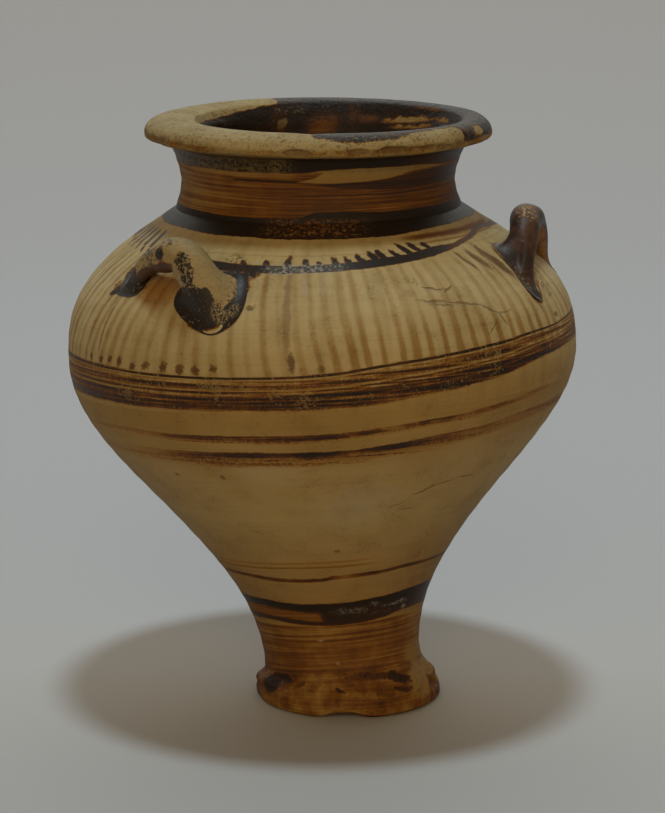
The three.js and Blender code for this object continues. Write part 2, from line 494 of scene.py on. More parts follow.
    def origin(self) -> np.ndarray:
        """Where the wheel's axis would meet the resting plane in the frame, less the foot's offset."""
        low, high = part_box("neck_and_rim")
        rim = (np.array(low) + np.array(high))[:2] / 2 / MM
        return np.array([rim[0] - self.rim_drift[0], rim[1] - self.rim_drift[1], 0.0])


class WallTurner:
    """Geometry Nodes that turn an outline round the wheel's axis, mark it and lean it."""

    NUMBERS = (
        "Rim Height", "Foot Height", "Drift Across", "Drift Behind", "Foot Offset", "Low Joint", "High Joint",
        "Ring Pitch", "Ring Depth", "Dent Width", "Dent Depth", "Bias", "Seed",
    )

    def __init__(self, shape: JarShape) -> None:
        """Args:
            shape: the jar's sizes.
        """
        self.shape = shape
        self.tree = bpy.data.node_groups.new("Turned wall", "GeometryNodeTree")
        kinds = {"Geometry": "Geometry", "Turns": "Int", **dict.fromkeys(self.NUMBERS, "Float")}
        kinds |= {"Origin": "Vector", "Material": "Material"}
        self.sockets = {
            name: self.tree.interface.new_socket(name=name, in_out="INPUT", socket_type=f"NodeSocket{kind}")
            for name, kind in kinds.items()
        }
        self.tree.interface.new_socket(name="Geometry", in_out="OUTPUT", socket_type="NodeSocketGeometry")
        self._build()

    def _build(self) -> None:
        """Adds the tree's nodes."""
        graph = Graph(self.tree)
        given = graph.node("NodeGroupInput")
        outline = graph.out(given, "Geometry")
        numbers = {name: graph.value(given, name) for name in ("Turns", *self.NUMBERS)}
        size = graph.node("GeometryNodeAttributeDomainSize", {"component": "MESH"}, {"Geometry": outline})
        count = graph.value(size, "Point Count")
        corners = {"Vertices X": numbers["Turns"] + 1, "Vertices Y": count}
        grid = graph.node("GeometryNodeMeshGrid", None, corners)
        index = graph.value(graph.node("GeometryNodeInputIndex"))
        ring = graph.math("FLOOR", (index + 0.5) / count)
        step = index - ring * count
        angle = ring / numbers["Turns"] * math.tau

        def sampled(field_socket: Socket) -> tuple[Value, Value, Value]:
            """An outline's vector at this point's step."""
            settings = {"data_type": "FLOAT_VECTOR", "domain": "POINT"}
            inputs = {"Geometry": outline, "Value": field_socket, "Index": step}
            return graph.parts(graph.out(graph.node("GeometryNodeSampleIndex", settings, inputs)))

        def named(name: str) -> Socket:
            """A named vector of the outline."""
            settings = {"data_type": "FLOAT_VECTOR"}
            return graph.out(graph.node("GeometryNodeInputNamedAttribute", settings, {"Name": name}))

        radius, _, height = sampled(graph.out(graph.node("GeometryNodeInputPosition")))
        out_radius, skin, out_height = sampled(named(OUTWARD))
        sine, cosine = graph.math("SINE", angle), graph.math("COSINE", angle)
        wheel = graph.vector(radius * sine, -radius * cosine, height)
        marks = self._marks(graph, numbers, wheel, height)
        nearest = graph.least(abs(height - numbers["Low Joint"]), abs(height - numbers["High Joint"]))
        push = marks * skin * nearest.step(0.0, 3.0) * -1.0
        moved = graph.vector(
            (radius + out_radius * push) * sine,
            (radius + out_radius * push) * cosine * -1.0,
            height + out_height * push,
        )
        leaned = self._lean(graph, numbers, moved)
        placed = graph.scaled(graph.vector_math("ADD", leaned, graph.out(given, "Origin")), MM)
        mesh = graph.out(grid, "Mesh")
        settings = {"data_type": "FLOAT_VECTOR", "domain": "POINT"}
        kept = {"Geometry": mesh, "Name": WHEEL, "Value": wheel}
        mesh = graph.out(graph.node("GeometryNodeStoreNamedAttribute", settings, kept))
        mesh = graph.out(graph.node("GeometryNodeSetPosition", None, {"Geometry": mesh, "Position": placed}))
        merge = {"Geometry": mesh, "Distance": MERGE}
        mesh = graph.out(graph.node("GeometryNodeMergeByDistance", None, merge))
        mesh = graph.out(graph.node("GeometryNodeSetShadeSmooth", None, {"Geometry": mesh}))
        mesh = graph.out(graph.node("GeometryNodeRealizeInstances", None, {"Geometry": mesh}))
        dress = {"Geometry": mesh, "Material": graph.out(given, "Material")}
        mesh = graph.out(graph.node("GeometryNodeSetMaterial", None, dress))
        graph.node("NodeGroupOutput", None, {"Geometry": mesh})

    @staticmethod
    def _marks(graph: Graph, numbers: dict[str, Value], wheel: Socket, height: Value) -> Value:
        """How deep the thrower's rings and dents are at a place."""
        place = graph.vector_math("ADD", wheel, graph.vector(0.0, 0.0, numbers["Seed"]))
        sway_scale, sway_size, uneven_scale = 0.03, 6.0, 0.05
        sway = graph.noise(graph.scaled(place, sway_scale), 1.0, 1.0) * sway_size
        ring = graph.math("SINE", (height + sway) / numbers["Ring Pitch"] * math.tau) * 0.5 + 0.5
        uneven = graph.noise(graph.scaled(place, uneven_scale), 1.0, 1.0)
        dent = graph.noise(graph.scaled(place, 1.0 / numbers["Dent Width"]), 1.0, 2.0)
        return ring * uneven * numbers["Ring Depth"] + (dent - numbers["Bias"]) * numbers["Dent Depth"]

    @staticmethod
    def _lean(graph: Graph, numbers: dict[str, Value], place: Socket) -> Socket:
        """The lean of the soft jar."""
        x, y, z = graph.parts(place)
        across, behind = numbers["Drift Across"], numbers["Drift Behind"]
        climb = graph.least(z / numbers["Rim Height"], 1.0)
        drift = climb * (2.0 - climb)
        rise = z / numbers["Foot Height"]
        tilt = (1.0 - climb) * 2.0 / numbers["Rim Height"] * graph.least(rise, 1.0)
        spread = graph.most(1.0 - rise, 0.0)
        return graph.vector(
            x + across * drift + numbers["Foot Offset"] * spread,
            y + behind * drift,
            z - (across * x + behind * y) * tilt,
        )

    def turn(self, name: str, outline: "Outline", marks: "WheelMarks", material: Material) -> Piece:
        """Turns an outline into a closed piece.

        Args:
            name: the piece's name.
            outline: its outline.
            marks: the thrower's marks on it.
            material: its finish.

        Returns:
            The piece, as a plain mesh at its place.
        """
        source = bpy.data.objects.new(f"{name}_outline", outline.mesh(name))
        link(source)
        modifier = source.modifiers.new("Turned wall", "NODES")
        modifier.node_group = self.tree
        shape = self.shape
        inputs = {
            "Turns": marks.turns,
            "Rim Height": shape.rim_z,
            "Foot Height": shape.foot_height,
            "Drift Across": shape.rim_drift[0],
            "Drift Behind": shape.rim_drift[1],
            "Foot Offset": shape.foot_offset[0],
            "Low Joint": shape.foot_height,
            "High Joint": shape.neck_base_z,
            "Ring Pitch": marks.ring_pitch,
            "Ring Depth": marks.ring_depth,
            "Dent Width": marks.dent_width,
            "Dent Depth": marks.dent_depth,
            "Bias": marks.bias,
            "Seed": marks.seed,
            "Origin": shape.origin(),
            "Material": material,
        }
        for title, value in inputs.items():
            modifier[self.sockets[title].identifier] = value
        evaluated = source.evaluated_get(bpy.context.evaluated_depsgraph_get())
        mesh = bpy.data.meshes.new_from_object(evaluated)
        bpy.data.objects.remove(source)
        mesh.name = name
        return make_piece(name, mesh, material)


@dataclass(frozen=True)
class WheelMarks:
    """The thrower's marks on a wall, in millimetres, and how finely the wall is turned."""

    turns: int = 360
    ring_pitch: float = 4.2
    ring_depth: float = 0.14
    dent_width: float = 22.0
    dent_depth: float = 0.5
    bias: float = 0.0
    seed: float = 3.0


@dataclass
class Outline:
    """The closed outline of a turned piece: radius, height, skin and outward direction.

    Skin is how much of the thrower's marks shows: 1 outside, 0.3 inside, 0 on hidden faces.
    """

    points: list[tuple[float, float, float, float, float]] = field(default_factory=list)

    def add(self, places: np.ndarray, skin: float, outward: np.ndarray | None = None) -> None:
        """Adds a stretch.

        Args:
            places: its radii and heights.
            skin: how much of the thrower's marks it takes.
            outward: the directions in which it is pushed, or none on a hidden stretch.
        """
        directions = outward if outward is not None else np.zeros_like(places)
        for (radius, height), (across, up) in zip(places, directions):
            self.points.append((float(radius), float(height), skin, float(across), float(up)))

    def mesh(self, name: str) -> Mesh:
        """The outline as a chain of points with their outward directions."""
        mesh = bpy.data.meshes.new(f"{name}_outline")
        mesh.from_pydata([(p[0], 0.0, p[1]) for p in self.points], [], [])
        store(mesh, OUTWARD, np.array([(p[3], p[2], p[4]) for p in self.points]))
        return mesh


def make_piece(name: str, mesh: Mesh, material: Material) -> Piece:
    """Links a mesh as a piece at the origin, with its finish and smooth shading."""
    piece = bpy.data.objects.new(name, mesh)
    link(piece)
    mesh.materials.clear()
    mesh.materials.append(material)
    mesh.shade_smooth()
    mesh.set_sharp_from_angle(angle=math.radians(SHARP_DEGREES))
    return piece


def place_on_wheel(azimuth: float, radius: float, height: float) -> np.ndarray:
    """An upright place from its azimuth in degrees, its radius and its height."""
    angle = math.radians(azimuth)
    return np.array([radius * math.sin(angle), -radius * math.cos(angle), height])


def finish_piece(piece: Piece, nodes: list[str]) -> None:
    """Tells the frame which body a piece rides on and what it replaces."""
    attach(piece, BODY)
    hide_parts(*nodes)
    LOG.info("%s: %d faces", piece.name, len(piece.data.polygons))


@dataclass(frozen=True)
class Chip:
    """A place where the clay is broken, dented or built up.

    The reach is how far it spreads along the ring, over the height and inwards, and the
    push moves its middle: outwards, upwards and towards larger azimuths. Bare is how much of
    the broken clay shows in it.
    """

    azimuth: float
    radius: float
    height: float
    reach: Triple
    push: Triple
    sharpness: float = 2.0
    bare: float = 0.0


class Sculptor:
    """Moves the points of a finished piece, as a hand or a knock would."""

    def __init__(self, shape: JarShape) -> None:
        """Args:
            shape: the jar's sizes.
        """
        self.shape = shape

    @staticmethod
    def wheel_places(mesh: Mesh) -> np.ndarray:
        """The upright place of every point of a mesh."""
        return read_vectors(mesh.attributes[WHEEL].data, "vector").astype(float)

    def work(self, piece: Piece, chips: list[Chip]) -> None:
        """Works the chips into a piece.

        Args:
            piece: a piece whose mesh has the upright place of every point.
            chips: what to work into it.
        """
        mesh = piece.data
        wheel = self.wheel_places(mesh)
        azimuth = np.degrees(np.arctan2(wheel[:, 0], -wheel[:, 1]))
        radius = np.hypot(wheel[:, 0], wheel[:, 1])
        places = read_vectors(mesh.vertices, "co").astype(float)
        broken = np.zeros(len(places))
        for chip in chips:
            turn = (azimuth - chip.azimuth + 180) % 360 - 180
            along = np.radians(turn) * chip.radius / chip.reach[0]
            over = (wheel[:, 2] - chip.height) / chip.reach[1]
            inwards = (radius - chip.radius) / chip.reach[2]
            share = np.exp(-((along**2 + over**2 + inwards**2) ** (chip.sharpness / 2)))
            outwards = np.stack([wheel[:, 0], wheel[:, 1]], -1) / np.maximum(radius, 1e-6)[:, None]
            aside = np.stack([-outwards[:, 1], outwards[:, 0]], -1)
            places[:, :2] += (outwards * chip.push[0] + aside * chip.push[2]) * share[:, None] * MM
            places[:, 2] += chip.push[1] * share * MM
            broken = np.maximum(broken, share * chip.bare)
        store(mesh, BROKEN, broken)
        mesh.vertices.foreach_set("co", places.astype(np.float32).ravel())
        mesh.update()


@dataclass
class Body:
    """The thrown body: the foot, the lower body, the shoulder and the neck with its lip."""

    shape: JarShape
    turner: WallTurner
    sculptor: Sculptor
    row: float = 0.5
    mouth_shift: float = 2.4

    def even(self, curve: np.ndarray, row: float | None = None) -> np.ndarray:
        """The same curve with its points one row apart."""
        run = path_length(curve)
        count = max(int(round(run[-1] / (row or self.row))), 2)
        along = np.linspace(0, run[-1], count + 1)
        return np.stack([np.interp(along, run, curve[:, axis]) for axis in (0, 1)], -1)

    def stretch(self, curve: np.ndarray, low: float, high: float) -> np.ndarray:
        """The stretch of a climbing curve between two heights."""
        ends = [(np.interp(level, curve[:, 1], curve[:, 0]), level) for level in (low, high)]
        margin = (high - low) * 1e-4
        between = curve[(curve[:, 1] > low + margin) & (curve[:, 1] < high - margin)]
        return np.concatenate([ends[:1], between, ends[1:]])

    def wall_stretch(self, outline: Outline, low: float, high: float) -> None:
        """Adds the outside of the body between two heights."""
        whole = self.even(self.shape.outside())
        outward = self.shape.outward(whole)
        run = self.even(self.stretch(self.shape.outside(), low, high))
        facing = np.stack([np.interp(run[:, 1], whole[:, 1], outward[:, axis]) for axis in (0, 1)], -1)
        outline.add(run, 1.0, facing)

    def inner_stretch(self, outline: Outline, low: float, high: float, row: float = 1.2) -> None:
        """Adds the inside of the body between two heights, going down."""
        run = self.even(self.stretch(self.shape.inside(), low, high), row)[::-1]
        outline.add(run, 0.3)

    def foot(self, material: Material, marks: WheelMarks, chips: list[Chip]) -> Piece:
        """The splayed foot, hollow beneath."""
        shape = self.shape
        edge_pull, splay_radius, splay_height, recess_flat = 0.5, 0.3, 0.7, 0.8
        recess = shape.curve([
            (0, shape.foot_recess_depth),
            (shape.foot_recess_radius * recess_flat, shape.foot_recess_depth),
            (shape.foot_recess_radius, 0),
        ], 12)
        overhang = shape.foot_radius - shape.stem_radius
        splay = shape.curve([
            (shape.foot_radius, shape.foot_edge_height),
            (shape.foot_radius, shape.foot_height * edge_pull),
            (shape.stem_radius + overhang * splay_radius, shape.foot_height * splay_height),
            (shape.stem_radius, shape.foot_height),
        ], 24)
        edge = shape.curve([
            (shape.foot_sole_radius, 0),
            (shape.foot_radius, 0),
            (shape.foot_radius, shape.foot_edge_height),
        ], 6)
        side = self.even(np.concatenate([edge, splay[1:]]), 0.3)
        outline = Outline()
        outline.add(recess[:-1], 0.3)
        outline.add(self.even(np.array([recess[-1], edge[0]]), 1.0)[:-1], 0.3)
        outline.add(side, 1.0, shape.outward(side))
        outline.add(self.even(np.array([splay[-1], (0, shape.foot_height)]), 3.0)[1:], 0.0)
        piece = self.turner.turn("foot", outline, marks, material)
        self.sculptor.work(piece, chips)
        return piece

    def lower_body(self, material: Material, marks: WheelMarks) -> Piece:
        """The lower body, from the stem up to the seam."""
        shape = self.shape
        outline = Outline()
        sole = np.array([(0, shape.foot_height), (shape.stem_radius, shape.foot_height)])
        outline.add(self.even(sole, 3.0)[:-1], 0.0)
        self.wall_stretch(outline, shape.foot_height, shape.seam_z)
        self.inner_stretch(outline, shape.floor_z, shape.seam_z)
        return self.turner.turn("lower_body", outline, marks, material)

    def shoulder(self, material: Material, marks: WheelMarks) -> Piece:
        """The shoulder, from the seam up to the neck's base."""
        outline = Outline()
        self.wall_stretch(outline, self.shape.seam_z, self.shape.neck_base_z)
        self.inner_stretch(outline, self.shape.seam_z, self.shape.neck_base_z)
        outline.points.append(outline.points[0])
        return self.turner.turn("shoulder", outline, marks, material)

    def _shift_mouth(self, piece: Piece) -> None:
        """Moves the mouth to the right of the lip's middle, so that the lip is broader at the left."""
        shape, mesh = self.shape, piece.data
        wheel = self.sculptor.wheel_places(mesh)
        radius = np.hypot(wheel[:, 0], wheel[:, 1])
        lift = np.clip((wheel[:, 2] - shape.neck_base_z - 4.0) / (shape.rim_height - 4.0), 0, 1)
        edge = shape.rim_radius - 1.0
        inner = np.clip((edge - radius) / (edge - shape.mouth_radius), 0, 1)
        inside = radius < shape.throat_radius - 0.6
        share = np.where((wheel[:, 2] > shape.rim_z - 0.5) | inside, lift**2 * inner, 0.0)
        places = read_vectors(mesh.vertices, "co")
        places[:, 0] += share * self.mouth_shift * MM
        mesh.vertices.foreach_set("co", places.ravel())

    def neck(self, material: Material, marks: WheelMarks, chips: list[Chip]) -> Piece:
        """The neck with its flared lip."""
        shape = self.shape
        flare, lip_round = 0.5, 0.12
        under_z = shape.rim_z - shape.lip_fall
        throat_z = shape.neck_base_z + shape.throat_height
        overhang = shape.rim_radius - shape.throat_radius
        under = shape.spline([
            (shape.neck_base_radius, shape.neck_base_z),
            (shape.throat_radius, throat_z),
            (shape.throat_radius + overhang * (1 - flare) / 2, under_z - shape.lip_fall / 2),
            (shape.throat_radius + overhang * flare, under_z),
            (shape.rim_radius - shape.lip_fall / 4, shape.rim_z - shape.lip_fall / 2),
            (shape.rim_radius, shape.rim_z),
        ], 20)
        face = shape.curve([
            (shape.rim_radius, shape.rim_z),
            (shape.rim_radius - shape.crest_inset * lip_round, shape.crest_z - shape.lip_rise * lip_round),
            (shape.rim_radius - shape.crest_inset, shape.crest_z),
        ], 20)
        mouth_z = shape.crest_z - shape.mouth_drop
        flat = shape.curve([
            (shape.rim_radius - shape.crest_inset, shape.crest_z),
            (shape.mouth_radius + shape.mouth_drop, shape.crest_z),
            (shape.mouth_radius, mouth_z),
        ], 16)
        inside = shape.spline([
            (shape.mouth_radius, mouth_z),
            (shape.throat_radius - shape.wall + shape.mouth_drop, under_z),
            (shape.throat_radius - shape.wall, throat_z),
            (shape.neck_base_radius - shape.wall, shape.neck_base_z),
        ], 16)
        skin = self.even(np.concatenate([under, face[1:], flat[1:], inside[1:]]), 0.32)
        outline = Outline()
        outline.add(skin, 1.0, shape.outward(skin))
        outline.points.append(outline.points[0])
        piece = self.turner.turn("neck_and_rim", outline, marks, material)
        self._shift_mouth(piece)
        self.sculptor.work(piece, chips)
        return piece


@dataclass(frozen=True)
class Root:
    """Where a coil handle is pressed onto the shoulder.

    The height is a share of the shoulder's height above the belly. The pad's reaches are in
    millimetres: away from the finger gap, towards it, down the shoulder and up it. A pad of an
    odd shape has its edge instead: azimuths and heights at eight even turns of the coil's
    angle, which starts on the side away from the finger gap and goes down first. The knee and
    the crook are two places on the leg's middle line, in shares of the way from the root to
    the coil's top: of the azimuth, the radius and the height.
    """

    azimuth: float
    height: float
    outer: float = 0.0
    inner: float = 0.0
    down: float = 0.0
    up: float = 0.0
    turn: float = 0.0
    leg_share: float = 1.0
    knee: Triple = (0.4, 0.4, 0.5)
    crook: Triple = (0.7, 0.8, 0.88)
    edge: tuple[Pair, ...] = ()


@dataclass(frozen=True)
class HandleShape:
    """One coil handle: its two roots and its top.

    The top's inset and its gap over the shoulder are shares of the coil's radius.
    """

    roots: tuple[Root, Root]
    azimuth: float
    inset: float
    gap: float
    rod_radius: float = 3.9
    flatness: float = 1.0
    seed: int = 5


@dataclass
class CoilHandle:
    """Builds a handle: a rolled coil bent over and pressed onto the shoulder at both ends."""

    shape: JarShape
    name: str
    sizes: HandleShape
    sides: int = 72
    arch_rings: int = 44
    leg_rings: int = 30
    pad_sink: float = 0.12
    cap_depth: float = 1.2
    dent: float = 0.16

    def surface(self, azimuth: np.ndarray, height: np.ndarray, lift: float = 0.0) -> np.ndarray:
        """Upright places on the shoulder, or a lift above it."""
        radius = self.shape.radius_at(height) + lift
        angle = np.radians(azimuth)
        return np.stack([radius * np.sin(angle), -radius * np.cos(angle), height + lift * 0.6], -1)

    def centre_line(self, steps: int) -> np.ndarray:
        """Points along the coil's middle, from root to root."""
        sizes, shape = self.sizes, self.shape
        seats = []
        for root in sizes.roots:
            level = shape.belly_z + root.height * shape.shoulder_height
            seats.append({"azimuth": root.azimuth, "radius": float(shape.radius_at(level)), "height": level})
        radius = (seats[0]["radius"] + seats[1]["radius"]) / 2 - sizes.inset * sizes.rod_radius
        outside = shape.outside()
        upper = outside[outside[:, 1] > shape.belly_z][::-1]
        level = float(np.interp(radius, upper[:, 0], upper[:, 1]))
        top = level + (sizes.gap + 1) * sizes.rod_radius
        crown = {"azimuth": sizes.azimuth, "radius": radius, "height": top}

        def towards(seat: dict[str, float], shares: Triple) -> np.ndarray:
            """A place that is shares of the way from a seat to the crown."""
            return place_on_wheel(*(
                seat[key] + (crown[key] - seat[key]) * share for key, share in zip(seat, shares)
            ))

        legs = [
            [place_on_wheel(*seat.values()), towards(seat, root.knee), towards(seat, root.crook)]
            for seat, root in zip(seats, sizes.roots)
        ]
        knots = [*legs[0], place_on_wheel(*crown.values()), *legs[1][::-1]]
        return self.smooth(np.array(knots), steps)

    @staticmethod
    def smooth(knots: np.ndarray, steps: int) -> np.ndarray:
        """A centripetal curve through knots, with its points evenly spaced."""
        padded = np.concatenate([[2 * knots[0] - knots[1]], knots, [2 * knots[-1] - knots[-2]]])
        made = []
        for before, start, end, after in zip(padded, padded[1:], padded[2:], padded[3:]):
            spans = ((before, start), (start, end), (end, after))
            first, middle, last = (math.sqrt(np.linalg.norm(b - a)) for a, b in spans)
            across = (end - start) / middle
            leave = ((start - before) / first - (end - before) / (first + middle) + across) * middle
            arrive = (across - (after - start) / (middle + last) + (after - end) / last) * middle
            t = np.linspace(0, 1, 25)[:-1, None]
            made.append(hermite(t, start, end, leave, arrive))
        curve = np.concatenate([*made, knots[-1:]])
        run = path_length(curve)
        along = np.linspace(0, run[-1], steps + 1)
        return np.stack([np.interp(along, run, curve[:, axis]) for axis in range(3)], -1)

    @staticmethod
    def around(knots: np.ndarray, angles: np.ndarray) -> np.ndarray:
        """A smooth closed curve through knots that are evenly spaced in angle."""
        count = len(knots)
        place = angles / math.tau * count
        first = np.floor(place).astype(int)
        t = (place - first)[:, None]
        before, start, end, after = (knots[(first + step) % count] for step in (-1, 0, 1, 2))
        leave, arrive = (end - before) / 2, (after - start) / 2
        return hermite(t, start, end, leave, arrive)

    def pad(self, root: Root, side: int, angles: np.ndarray) -> np.ndarray:
        """The edge of a root's pad, on the shoulder.

        Args:
            root: the root.
            side: -1 at the root with the smaller azimuth, 1 at the other.
            angles: the coil's angles, from the side away from the finger gap to the front.

        Returns:
            An upright place for each angle.
        """
        if root.edge:
            azimuth, height = self.around(np.array(root.edge), angles).T
            return self.surface(azimuth, height, -self.pad_sink)
        level = self.shape.belly_z + root.height * self.shape.shoulder_height
        cosine, sine = np.cos(angles), np.sin(angles)
        across = cosine * np.where(cosine > 0, root.outer, root.inner)
        down = sine * np.where(sine > 0, root.down, root.up)
        turn = math.radians(root.turn)
        turned_across = across * math.cos(turn) - down * math.sin(turn)
        down = across * math.sin(turn) + down * math.cos(turn)
        outside = self.shape.outside()
        run = path_length(outside)
        start = np.interp(level, outside[:, 1], run)
        height = np.interp(start - down, run, outside[:, 1])
        radius = self.shape.radius_at(height)
        azimuth = root.azimuth + np.degrees(side * turned_across / radius)
        return self.surface(azimuth, height, -self.pad_sink)

    def build(self, material: Material) -> Piece:
        """Builds the handle.

        Args:
            material: its finish.

        Returns:
            The handle, as one closed mesh at its place.
        """
        arch_start, fine = 0.3, 200
        line = self.centre_line(fine)
        angles = np.linspace(0, math.tau, self.sides, endpoint=False)
        along = np.linspace(arch_start, 1 - arch_start, self.arch_rings + 1)
        rings, marks = [], []
        for share in along:
            rings.append(self._ring(line, share, angles))
            marks.append(np.stack([np.full(self.sides, 2 * share - 1), angles], -1))
        for side in (-1, 1):
            legs, leg_marks = self._leg(line, side, arch_start, angles)
            if side > 0:
                rings, marks = rings + legs, marks + leg_marks
            else:
                rings, marks = legs[::-1] + rings, leg_marks[::-1] + marks
        wheel = self._roughen(np.array(rings)).reshape(-1, 3)
        return self._mesh(wheel, np.array(marks).reshape(-1, 2), len(rings), material)

    def _frame(self, line: np.ndarray, share: float) -> tuple[np.ndarray, np.ndarray, np.ndarray, np.ndarray]:
        """The coil's middle at a share of its length, its direction, its depth and its width."""
        place = share * (len(line) - 1)
        index = int(min(place, len(line) - 2))
        middle = line[index] + (line[index + 1] - line[index]) * (place - index)
        low, high = max(index - 2, 0), min(index + 3, len(line) - 1)
        tangent = line[high] - line[low]
        tangent /= np.linalg.norm(tangent)
        out = np.array([middle[0], middle[1], 0.0])
        out /= np.linalg.norm(out)
        depth = out - tangent * (out @ tangent)
        depth /= np.linalg.norm(depth)
        return middle, tangent, depth, np.cross(depth, tangent)

    def _radius(self, share: float) -> float:
        """The coil's radius at a share of its length."""
        first, last = (root.leg_share for root in self.sizes.roots)
        return self.sizes.rod_radius * float(np.interp(share, [0.25, 0.5, 0.75], [first, 1.0, last]))

    def _ring(self, line: np.ndarray, share: float, angles: np.ndarray) -> np.ndarray:
        """The places of one ring of the coil."""
        middle, _, depth, width = self._frame(line, share)
        radius = self._radius(share)
        cosine, sine = np.cos(angles)[:, None], np.sin(angles)[:, None]
        return middle + width * cosine * radius + depth * sine * radius * self.sizes.flatness

    def _leg(self, line: np.ndarray, side: int, start: float, angles: np.ndarray) -> tuple[list, list]:
        """The rings of a leg, from the arch down to the edge of its pad."""
        root = self.sizes.roots[0 if side < 0 else 1]
        share = start if side < 0 else 1 - start
        top = self._ring(line, share, angles)
        _, tangent, _, _ = self._frame(line, share)
        down = tangent * side
        foot = self.pad(root, side, angles)
        centre = foot.mean(axis=0)
        spread = foot - centre
        spread /= np.linalg.norm(spread, axis=1)[:, None]
        reach = np.linalg.norm(foot - top, axis=1)[:, None]
        leave, arrive = 0.42, 0.34
        corners = (top, top + down * reach * leave, foot - spread * reach * arrive + [0, 0, 0.25], foot)
        rings, marks = [], []
        for step in range(1, self.leg_rings + 1):
            t = step / self.leg_rings
            shares = (math.comb(3, k) * (1 - t) ** (3 - k) * t**k for k in range(4))
            rings.append(sum(share * corner for share, corner in zip(shares, corners)))
            along = side * (1 - 2 * start + 2 * start * t)
            marks.append(np.stack([np.full(len(angles), along), angles], -1))
        return rings, marks

    def _roughen(self, rings: np.ndarray) -> np.ndarray:
        """The rings with the small dents of fingers and of a rolled coil."""
        rng = np.random.default_rng(self.sizes.seed)
        count, sides, _ = rings.shape
        angle = np.linspace(0, math.tau, sides, endpoint=False)
        along = np.linspace(0, 1, count)[:, None]
        dents = np.zeros((count, sides))
        for turns in range(1, 5):
            for waves in range(1, 6):
                size = rng.normal() / (turns + waves)
                phase, twist = rng.uniform(0, math.tau, 2)
                dents += size * np.cos(turns * angle + phase) * np.cos(waves * math.tau * along + twist)
        middle = rings.mean(axis=1, keepdims=True)
        outward = rings - middle
        fade = np.sin(np.pi * along) ** 0.5
        length = np.maximum(np.linalg.norm(outward, axis=2), 1e-6)
        return rings + outward * ((dents * self.dent - self.dent) * fade / length)[..., None]

    def _mesh(self, wheel: np.ndarray, coil: np.ndarray, count: int, material: Material) -> Piece:
        """The closed mesh of the rings, with a cap under each pad."""
        sides = self.sides
        faces = []
        for ring in range(count - 1):
            for side in range(sides):
                after = (side + 1) % sides
                low, high = ring * sides, (ring + 1) * sides
                faces.append((low + side, low + after, high + after, high + side))
        places = list(wheel)
        extra = list(coil)
        for start, flip in ((0, False), ((count - 1) * sides, True)):
            centre = wheel[start:start + sides].mean(axis=0)
            inward = np.array([centre[0], centre[1], 0.0]) / np.linalg.norm(centre[:2])
            places.append(centre - inward * self.cap_depth - [0, 0, self.cap_depth])
            extra.append(coil[start])
            middle = len(places) - 1
            for side in range(sides):
                pair = (start + side, start + (side + 1) % sides)
                faces.append((middle, *(pair if flip else pair[::-1])))
        upright = np.array(places)
        mesh = bpy.data.meshes.new(self.name)
        placed = (self.shape.lean(upright) + self.shape.origin()) * MM
        mesh.from_pydata(placed.tolist(), [], faces)
        store(mesh, WHEEL, upright)
        height = upright[:, 2] - np.interp(
            np.hypot(upright[:, 0], upright[:, 1]),
            *(self.shape.outside()[::-1][:, axis] for axis in (0, 1)),
        )
        along, angle = np.array(extra).T
        store(mesh, COIL, np.stack([along, np.cos(angle), np.sin(angle)], axis=1))
        store(mesh, LIFT, height)
        mesh.validate()
        mesh.update()
        return make_piece(self.name, mesh, material)


@dataclass(frozen=True)
class Lamp:
    """A round soft lamp: its place and width in metres, its power in watts and its tilt."""

    name: str
    place: Triple
    width: float
    power: float
    colour: Triple
    pitch: float = 0.0
    heading: float = 0.0


